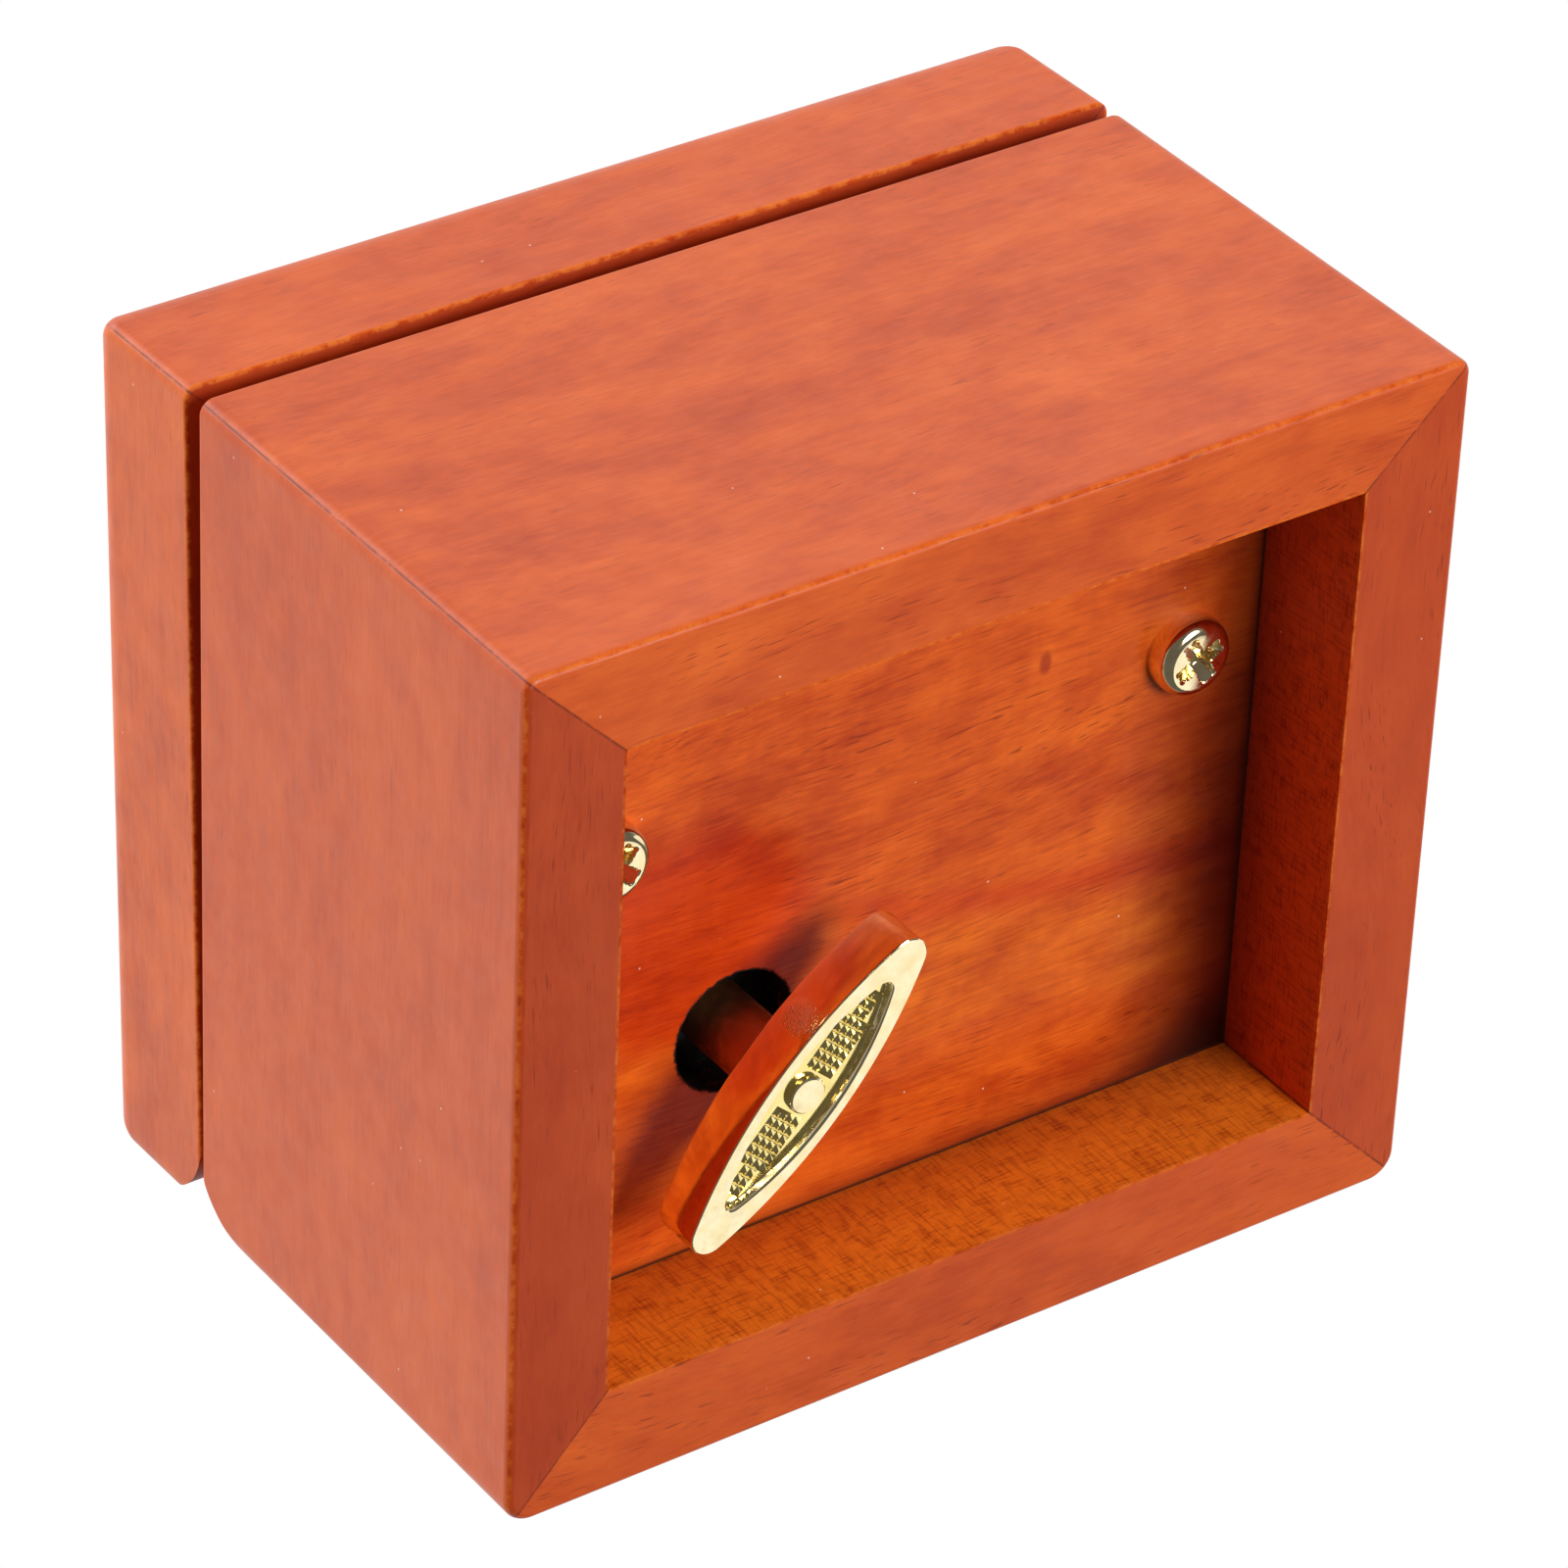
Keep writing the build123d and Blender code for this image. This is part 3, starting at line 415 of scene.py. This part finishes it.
def panel_wood():
    """Movement panel: thick glossy stain, with painted shade that is darker and redder beside the key hole,
    and dark by the walls.
    """
    g = Graph("panel_wood")
    place = g.millimetres()
    x, y, z = g.split(place)
    grain = Grain(g, place, "X", 17)
    color = g.ramp(grain.tone(0.85), (0.25, DEEP), (0.50, STAIN), (0.75, GLOW))
    color = g.mix(grain.dashes(0.75), color, PORE)
    ripple = g.noise(g.join(g.times(x, 1.1), g.times(y, 0.12), z), 1.0, 1.0)
    color = g.tint(g.span(ripple, 0.50, 0.66, 0.0, 0.12), color, (0.75, 0.55, 0.5))
    color = g.tint(g.span(grain.streaks(7.0, 0.10, 2.0), 0.46, 0.62, 0.0, 0.45), color, (0.80, 0.62, 0.5))
    color = g.tint(1.0, color, (1.07, 1.09, 0.65))

    wavy = g.add(y, g.times(grain.streaks(40.0, 12.0), 8.0), g.times(x, -0.08))
    band = g.times(g.span(wavy, 8.0, 10.5), g.span(wavy, 17.0, 15.5), g.span(x, -7.0, 1.0))
    color = g.tint(band, color, (1.10, 1.34, 0.9))
    vein = g.times(g.span(g.away(wavy, 7.2), 0.2, 1.7, 1.0, 0.0), g.span(x, -8.0, 0.0))
    color = g.tint(vein, color, (0.88, 0.62, 0.55))

    # Painted shade: darker and redder on the panel beside the key hole, where the key's shadow falls and the
    # lacquer shows no sheen.
    cloud = g.times(g.math("SUBTRACT", g.noise(place, 0.20, 2.0), 0.5), 0.5)
    offset = g.vector("SUBTRACT", place, (-14.5, -0.5, PANEL_Z))
    offset = g.vector("MULTIPLY", offset, (1 / 8.5, 1 / 8.0, 0.0))
    key_hole_shade = g.span(g.add(g.vector("LENGTH", offset), cloud), 0.70, 1.12, 1.0, 0.0)
    color = g.tint(key_hole_shade, color, (0.84, 0.42, 0.25))

    stain = g.vector("MULTIPLY", g.vector("SUBTRACT", place, (9.3, -11.2, PANEL_Z)), (1.6, 0.9, 0.0))
    blot = g.span(g.vector("LENGTH", stain), 0.35, 0.95, 0.7, 0.0)
    color = g.mix(blot, color, (0.30, 0.015, 0.002))

    # Painted shade and reflection: darker towards the right wall, which the lacquer mirrors, and towards the
    # back wall, darkest in the back right corner and within a millimetre of every wall.
    right_wall_shade = g.times(g.span(x, 13.0, 23.5), g.span(y, -24.0, 8.0, 0.55, 1.0))
    color = g.tint(right_wall_shade, color, (0.16, 0.06, 0.05))
    back_wall_shade = g.span(g.add(y, g.times(x, 0.06)), 17.8, 22.8)
    color = g.tint(back_wall_shade, color, (0.58, 0.54, 0.50))
    color = g.tint(g.times(g.span(x, 14.0, 25.0), g.span(y, 14.0, 21.5)), color, (0.30, 0.26, 0.26))
    corner = recess_depth(g, place)
    color = g.tint(g.span(corner, -1.0, 0.0, 0.0, 0.7), color, (0.45, 0.35, 0.35))
    # A near-black line along the foot of the walls.
    color = g.mix(g.span(corner, -0.34, -0.10, 0.0, 0.9), color, (0.04, 0.008, 0.002))

    ragged = g.times(g.math("SUBTRACT", g.noise(place, 1.8, 3.0, 0.7), 0.5), 0.5)
    hole = g.vector("MULTIPLY", g.vector("SUBTRACT", place, (*WIND, 0.0)), (1.0, 1.0, 0.0))
    burnt = g.span(g.add(g.vector("LENGTH", hole), ragged), KEY_HOLE_R + 0.02, KEY_HOLE_R + 0.22, 1.0, 0.0)
    color = g.mix(burnt, color, CHAR)
    color = flaws(g, place, color, 17)
    height = g.add(g.times(grain.streaks(5.0, 0.16), 0.6), g.times(grain.dashes(1.0), -1.0))
    return lacquer(g, place, color, height, g.times(burnt, 0.4), 0.35)


def paint(node, material):
    """Give a CAD node one material."""
    mesh = nodes[node].data
    mesh.materials.clear()
    mesh.materials.append(material)


def dress_wood():
    # Each row: side, grain axis, calm, pores, rim (a tint that paints shade on the rim), sawn inner colour,
    # inward.
    boards = (
        ("front", "X", 0.60, 0.35, PLAIN, SAWN_RED, (0, 1, 0)),
        ("back", "X", 0.50, 0.30, (0.94, 0.88, 0.7), SAWN_AMBER, (0, -1, 0)),
        ("left", "Y", 0.40, 0.20, (0.70, 0.55, 0.7), SAWN_RED, (1, 0, 0)),
        ("right", "Y", 0.35, 0.20, (0.78, 0.64, 0.8), SAWN_RED, (-1, 0, 0)),
    )
    for seed, (side, axis, *looks) in enumerate(boards, 1):
        paint(f"{side}_board", board_wood(f"wood_{side}", axis, seed, *looks))
    for seed, name in enumerate(LID, 7):
        axis = "X" if name in ("lid_front_rail", "lid_back_rail") else "Y"
        # The left rail is tinted paler: painted sheen of the lit left side.
        shade = (1.10, 1.24, 1.0) if name == "lid_left_rail" else (1.03, 1.03, 1.0)
        paint(name, lid_wood(f"wood_{name}", axis, seed, shade, 0.5))
    paint("lid_panel", lid_wood("wood_lid_panel", "X", 13, PLAIN, 0.7))
    paint("movement_panel", panel_wood())


# ---------------------------------------------------------------- metals and the rest
CAST_PATCH = (-11.2, 2.5, 2.5)      # pitted spot on the side of the key
PIT = (KEY_FACE + 0.15, KEY_FACE + 1.1)     # heights of the sunk panel on its wing


def gold_plate():
    """Pale polished gold plating with a few darker water marks."""
    g = Graph("gold_plate")
    place = g.millimetres()
    haze = g.noise(place, 0.9, 3.0)
    color = g.mix(g.span(haze, 0.35, 0.65), (0.92, 0.75, 0.42), (0.96, 0.82, 0.52))
    marks = g.span(g.noise(place, 2.4, 4.0, 0.7), 0.62, 0.74)
    color = g.tint(g.times(marks, 0.4), color, (0.8, 0.72, 0.55))
    _, _, z = g.split(place)
    # Painted reflection: the floor of the sunk panel is tinted a deeper yellow, as if mirroring the gold
    # walls round it.
    sunk = g.times(g.span(z, PIT[0], PIT[0] + 0.2), g.span(z, PIT[1] - 0.1, PIT[1], 1.0, 0.0), g.facing(DOWN))
    color = g.tint(sunk, color, (0.98, 0.95, 0.62))
    # Painted reflection: the stem above the wing is coloured red-brown, as if mirroring the red panel, and
    # made rougher.
    axis = g.vector("MULTIPLY", g.vector("SUBTRACT", place, (*WIND, 0.0)), (1.0, 1.0, 0.0))
    stem = g.times(g.span(g.vector("LENGTH", axis), 2.55, 2.75, 1.0, 0.0), g.span(z, 4.2, 4.6))
    color = g.mix(stem, color, (0.72, 0.30, 0.12))
    normal = g.bump(g.noise(place, 2.0, 2.0), 0.00001, 0.25)
    pitted = g.span(g.vector("LENGTH", g.vector("SUBTRACT", place, CAST_PATCH)), 0.6, 1.5, 1.0, 0.0)
    normal = g.bump(g.times(pitted, g.noise(place, 9.0, 2.0)), 0.00012, 0.9, normal)
    rough = g.add(g.span(g.noise(place, 1.5, 3.0), 0.3, 0.7, 0.07, 0.16), g.times(stem, 0.40))
    return g.finish(Base_Color=color, Metallic=1.0, Roughness=rough, Normal=normal)


def metal(name, low, high, rough):
    """Plain worked metal with faint brushing and uneven sheen."""
    g = Graph(name)
    place = g.millimetres()
    brush = g.noise(place, 4.0, 3.0, 0.6)
    haze = g.noise(place, 0.7, 2.0)
    color = g.mix(g.span(haze, 0.3, 0.7), low, high)
    scratch = g.span(g.noise(g.vector("MULTIPLY", place, (9.0, 0.8, 0.8)), 1.0, 2.0), 0.62, 0.72)
    color = g.tint(g.times(scratch, 0.3), color, (0.75, 0.72, 0.68))
    normal = g.bump(brush, 0.00001, 0.4)
    sheen = g.span(brush, 0.3, 0.7, rough, rough + 0.12)
    return g.finish(Base_Color=color, Metallic=1.0, Roughness=sheen, Normal=normal)


def black_enamel():
    """Thick black paint over a cast plate, with a faint orange-peel skin. Its black, seen through the key
    hole, stands in for the shade of the space behind the hole: painted shade.
    """
    g = Graph("black_enamel")
    place = g.millimetres()
    peel = g.noise(place, 1.3, 3.0, 0.6)
    color = g.mix(g.span(peel, 0.3, 0.7), (0.008, 0.008, 0.009), (0.020, 0.019, 0.018))
    dust = g.span(g.cells(place, 0.5), 0.02, 0.06, 1.0, 0.0)
    color = g.mix(g.times(dust, 0.5), color, (0.10, 0.09, 0.08))
    rough = g.span(peel, 0.3, 0.7, 0.30, 0.42)
    return g.finish(Base_Color=color, Roughness=rough, Normal=g.bump(peel, 0.00004, 0.5))


def nylon():
    """Milky moulded nylon."""
    g = Graph("nylon")
    place = g.millimetres()
    haze = g.noise(place, 1.5, 3.0)
    color = g.mix(haze, (0.78, 0.75, 0.66), (0.88, 0.87, 0.82))
    flow = g.noise(g.vector("MULTIPLY", place, (0.5, 3.0, 3.0)), 1.0, 2.0)
    color = g.tint(g.span(flow, 0.5, 0.7, 0.0, 0.5), color, (0.92, 0.90, 0.84))
    rough = g.span(flow, 0.3, 0.7, 0.36, 0.50)
    return g.finish(Base_Color=color, Roughness=rough, Normal=g.bump(haze, 0.00002, 0.3))


def felt():
    """Green felt with a few loose fibres."""
    g = Graph("felt")
    place = g.millimetres()
    fuzz = g.noise(place, 12.0, 4.0, 0.7)
    color = g.mix(fuzz, (0.01, 0.06, 0.02), (0.05, 0.20, 0.08))
    color = g.mix(g.span(g.cells(place, 4.0), 0.05, 0.15, 0.5, 0.0), color, (0.16, 0.34, 0.18))
    return g.finish(Base_Color=color, Roughness=0.95, Normal=g.bump(fuzz, 0.0001, 0.8))


def dress_metal(gold):
    """Paint every node whose slot isn't wood."""
    by_slot = {
        "gold_plate": gold,
        "brass": metal("brass", (0.62, 0.42, 0.14), (0.78, 0.58, 0.24), 0.22),
        "black_enamel": black_enamel(),
        "nickel_steel": metal("nickel_steel", (0.58, 0.56, 0.52), (0.70, 0.68, 0.63), 0.20),
        "bright_steel": metal("bright_steel", (0.50, 0.51, 0.53), (0.68, 0.69, 0.71), 0.24),
        "nylon": nylon(),
        "felt": felt(),
    }
    for part in frame["record"]["subparts"]:
        if part["material_slot"] in by_slot:
            paint(part["node"], by_slot[part["material_slot"]])


# ---------------------------------------------------------------- mesh helper
class Shell:
    """A mesh drawn in millimetres from loops of points."""

    def __init__(self):
        self.mesh = bmesh.new()

    def loop(self, points):
        return [self.mesh.verts.new(point) for point in points]

    def skin(self, loops):
        """Quads between each closed loop and the next."""
        for low, high in zip(loops, loops[1:]):
            for i in range(len(low)):
                j = (i + 1) % len(low)
                self.mesh.faces.new((low[i], low[j], high[j], high[i]))

    def fan(self, loop, point):
        """Triangles from a loop to one point."""
        tip = self.mesh.verts.new(point)
        for i, vertex in enumerate(loop):
            self.mesh.faces.new((vertex, loop[(i + 1) % len(loop)], tip))

    def turned(self, profile):
        """A turned form on the Z axis; profile is radius and height, from end to end."""
        count = 64
        angles = [2 * math.pi * i / count for i in range(count)]
        loops = [self.loop([(radius * math.cos(a), radius * math.sin(a), z) for a in angles])
                 for radius, z in profile]
        self.skin(loops)
        self.fan(loops[0], (0.0, 0.0, profile[0][1]))
        self.fan(loops[-1], (0.0, 0.0, profile[-1][1]))

    def pyramid(self, x, y, half, base, top):
        corners = [(x - half, y - half, base), (x + half, y - half, base), (x + half, y + half, base),
                   (x - half, y + half, base)]
        self.fan(self.loop(corners), (x, y, top))

    def make(self, name, material, body, node, smooth, place=Matrix.Identity(4)):
        """Turn the shell into a piece that rides on a body in place of a CAD node.

        Edges are smooth where the faces meet at less than this many degrees."""
        bmesh.ops.recalc_face_normals(self.mesh, faces=self.mesh.faces)
        bmesh.ops.transform(self.mesh, matrix=Matrix.Scale(MM, 4) @ place, verts=self.mesh.verts)
        for edge in self.mesh.edges:
            edge.smooth = len(edge.link_faces) == 2 and edge.calc_face_angle() < math.radians(smooth)
        for face in self.mesh.faces:
            face.smooth = True
        data = bpy.data.meshes.new(name)
        self.mesh.to_mesh(data)
        self.mesh.free()
        data.materials.append(material)
        made = bpy.data.objects.new(name, data)
        bpy.context.collection.objects.link(made)
        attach(made, body)
        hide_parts(node)
        return made


# ---------------------------------------------------------------- winding key
def boat(half_length, half_width, tip_r, z):
    """Boat-shaped outline along X: two arcs joined by round tips."""
    arc = 28
    tip = 10
    rise = half_width - tip_r
    centre = half_length - tip_r
    offset = (centre ** 2 - rise ** 2) / (2 * rise)
    radius = offset + half_width
    lean = math.atan2(offset, centre)
    points = []
    for turn in (1, -1):
        for i in range(arc):
            angle = lean + (math.pi - 2 * lean) * (i + 0.5) / arc
            points.append((turn * radius * math.cos(angle), turn * (radius * math.sin(angle) - offset), z))
        for i in range(tip):
            angle = math.pi - lean + 2 * lean * (i + 0.5) / tip
            points.append((turn * (tip_r * math.cos(angle) - centre), turn * tip_r * math.sin(angle), z))
    return points


def inside_boat(x, y, half_length, half_width):
    """Whether a point lies within a boat shape, taken here as a parabola on each side."""
    return abs(y) < half_width * (1 - (x / half_length) ** 2)


def winding_key(gold):
    """Cast key wing with a sunk, knurled panel on each side of a plain boss, on a round stem."""
    shell = Shell()
    face = KEY_FACE
    back = KEY_FACE + KEY_WING
    floor_z = face + 0.55
    sections = (
        (10.72, 2.77, 1.05, back), (10.92, 2.97, 1.22, back - 0.08), (11.0, 3.05, 1.3, back - 0.28),
        (11.0, 3.05, 1.3, face + 0.18), (10.97, 3.02, 1.27, face + 0.05), (10.90, 2.95, 1.22, face),
        (8.02, 2.36, 0.66, face), (7.94, 2.29, 0.62, face + 0.07), (7.88, 2.24, 0.60, face + 0.14),
        (7.80, 2.16, 0.58, floor_z - 0.08), (7.72, 2.08, 0.54, floor_z),
    )
    loops = [shell.loop(boat(*section)) for section in sections]
    shell.skin(loops)
    shell.fan(loops[0], (0.0, 0.0, back))
    shell.fan(loops[-1], (0.0, 0.0, floor_z))

    pitch = 0.64
    rows = 9
    columns = 4
    for row in range(rows):
        for column in range(columns):
            for side in (1, -1):
                x = side * (1.70 + row * pitch)
                y = (column - columns / 2 + 0.5) * pitch * 0.92
                if inside_boat(x, abs(y) + 0.25, 8.1, 2.05):
                    shell.pyramid(x, y, pitch * 0.48, floor_z, face + 0.30)

    boss = ((1.22, floor_z), (1.18, face + 0.20), (1.08, face + 0.10), (0.55, face + 0.08))
    shell.turned(boss)
    stem = (
        (2.1, STEM_TOP), (2.1, back + 0.75), (2.2, back + 0.5), (2.42, back + 0.25), (2.5, back),
        (2.4, back - 0.1),
    )
    shell.turned(stem)
    place = Matrix.Translation((*WIND, 0.0)) @ Matrix.Rotation(KEY_ANGLE, 4, "Z")
    shell.make("key_wing", gold, "key", "winding_key", 30.0, place)


# ---------------------------------------------------------------- movement screws
def cross_recess(x, y):
    """Depth of a worn cross recess at a point of the screw's face."""
    reach = 1.62
    half = 0.40
    deepest = 1.05
    depth = 0.0
    for along, across in ((x, y), (y, x)):
        ends = min(1.0, max(0.0, (reach - abs(along)) / 0.75))
        wall = min(1.0, max(0.0, (half + 0.10 - abs(across)) / 0.14))
        depth = max(depth, deepest * min(ends, wall * 1.6, 1.0) * wall ** 0.5)
    corner = max(0.0, 1.0 - (abs(x * y) / 0.22)) * max(0.0, 1.0 - math.hypot(x, y) / 1.15)
    return max(depth, 0.9 * min(1.0, corner * 2.2))


def crown(r):
    """How far the head stands out of the panel at this radius, apart from its recess."""
    bevel = max(0.0, (r / HEAD_R - 0.72) / 0.28)
    rounding = 0.9 * (1 - math.sqrt(max(0.0, 1 - bevel ** 2)))
    return HEAD_HEIGHT * (1 - 0.05 * (r / HEAD_R) ** 2) - rounding


def screw(shell, x, y, turn):
    """Movement screw whose pan head looks down, drawn as rings round its axis."""
    rings = 34
    count = 120

    def ring(r, height_at):
        points = []
        for i in range(count):
            angle = 2 * math.pi * i / count
            z = height_at(r * math.cos(angle), r * math.sin(angle))
            points.append((x + r * math.cos(angle + turn), y + r * math.sin(angle + turn), z))
        return shell.loop(points)

    def face(u, v):
        return PANEL_Z - crown(math.hypot(u, v)) + cross_recess(u, v)

    loops = [ring(HEAD_R * (k / rings) ** 0.85, face) for k in range(rings, 0, -1)]
    shell.skin(loops)
    shell.fan(loops[-1], (x, y, face(0.0, 0.0)))
    skirt = ring(HEAD_R, lambda u, v: PANEL_Z)
    neck = ring(SHANK_R, lambda u, v: PANEL_Z)
    end = ring(SHANK_R, lambda u, v: PANEL_Z + SHANK_LENGTH)
    shell.skin([loops[0], skirt, neck, end])
    shell.fan(end, (x, y, PANEL_Z + SHANK_LENGTH))


def movement_screws(gold):
    """The two screws that hold the movement to the panel."""
    shell = Shell()
    for (x, y), turn in zip(SCREWS, SCREW_TURNS):
        screw(shell, x, y, turn)
    shell.make("panel_screws", gold, "case", "movement_screws", 28.0)


# ---------------------------------------------------------------- stage
AIM = Vector((0.0, 0.0, 0.022))


def camera():
    """The camera looks up at the underside, from the front left."""
    data = bpy.data.cameras.new("camera")
    data.sensor_width = 36.0
    data.lens = 182.33
    data.clip_start = 0.05
    data.clip_end = 50.0
    made = bpy.data.objects.new("camera", data)
    made.location = (-0.22616, -0.25879, -0.29064)
    made.rotation_euler = [math.radians(angle) for angle in (144.51, 34.57, -2.55)]
    bpy.context.collection.objects.link(made)
    bpy.context.scene.camera = made


def soft_light(name, direction, distance, size, share):
    """A round soft light that faces the box; share 1 lights a white wall facing it fully white."""
    data = bpy.data.lights.new(name, "AREA")
    data.shape = "DISK"
    data.size = size
    data.energy = share * math.pi ** 2 * distance ** 2
    made = bpy.data.objects.new(name, data)
    made.location = AIM + Vector(direction).normalized() * distance
    made.rotation_euler = (AIM - made.location).to_track_quat("-Z", "Y").to_euler()
    bpy.context.collection.objects.link(made)


def world():
    """White studio: bright behind and above the box, dimmer below it."""
    made = bpy.data.worlds.new("world")
    made.use_nodes = True
    bpy.context.scene.world = made
    tree = made.node_tree
    place = tree.nodes.new("ShaderNodeTexCoord")
    axes = tree.nodes.new("ShaderNodeSeparateXYZ")
    level = tree.nodes.new("ShaderNodeMapRange")
    tree.links.new(place.outputs["Generated"], axes.inputs[0])
    tree.links.new(axes.outputs["Z"], level.inputs["Value"])
    level.inputs["From Min"].default_value = -0.35
    level.inputs["From Max"].default_value = 0.15
    level.inputs["To Min"].default_value = 0.12
    level.inputs["To Max"].default_value = 1.0
    path = tree.nodes.new("ShaderNodeLightPath")
    strength = tree.nodes.new("ShaderNodeMath")
    strength.operation = "MAXIMUM"
    tree.links.new(path.outputs["Is Camera Ray"], strength.inputs[0])
    tree.links.new(level.outputs[0], strength.inputs[1])
    tree.links.new(strength.outputs[0], tree.nodes["Background"].inputs["Strength"])
    tree.nodes["Background"].inputs["Color"].default_value = (1.0, 1.0, 1.0, 1.0)


def floor():
    """A pale floor under the box. It shows from above only, so that the underside can be seen."""
    half = 4.0
    low = -0.0002
    mesh = bpy.data.meshes.new("floor")
    corners = [(-half, -half, low), (half, -half, low), (half, half, low), (-half, half, low)]
    mesh.from_pydata(corners, [], [(0, 1, 2, 3)])
    made = bpy.data.objects.new("floor", mesh)
    bpy.context.collection.objects.link(made)
    g = Graph("pale_floor")
    haze = g.noise(g.millimetres(), 0.02, 3.0)
    g.finish(Base_Color=g.mix(haze, (0.80, 0.80, 0.80), (0.84, 0.84, 0.84)), Roughness=0.7)
    clear = g.node("ShaderNodeBsdfTransparent")
    path = g.node("ShaderNodeLightPath")
    back = g.node("ShaderNodeNewGeometry").outputs["Backfacing"]
    shown = g.times(path.outputs["Is Camera Ray"], g.math("SUBTRACT", 1.0, back))
    both = g.node("ShaderNodeMixShader")
    g.put(both.inputs[0], shown)
    g.put(both.inputs[1], clear.outputs[0])
    g.put(both.inputs[2], g.bsdf.outputs[0])
    g.put(g.output.inputs["Surface"], both.outputs[0])
    mesh.materials.append(g.material)


dress_wood()
plating = gold_plate()
dress_metal(plating)
winding_key(plating)
movement_screws(plating)
world()
floor()
camera()
soft_light("key_light", (0.20, -0.38, -0.90), 0.8, 0.45, 0.92)
soft_light("fill_light", (0.483, 0.559, -0.674), 0.6, 0.17, 0.0205)
soft_light("top_light", (-0.35, -0.45, 0.82), 0.9, 0.5, 0.36)
soft_light("left_light", (-0.90, -0.10, 0.30), 0.9, 0.5, 0.20)
soft_light("right_card", (0.907, 0.091, -0.413), 0.6, 0.30, 0.055)
bpy.context.scene.view_settings.view_transform = "Standard"
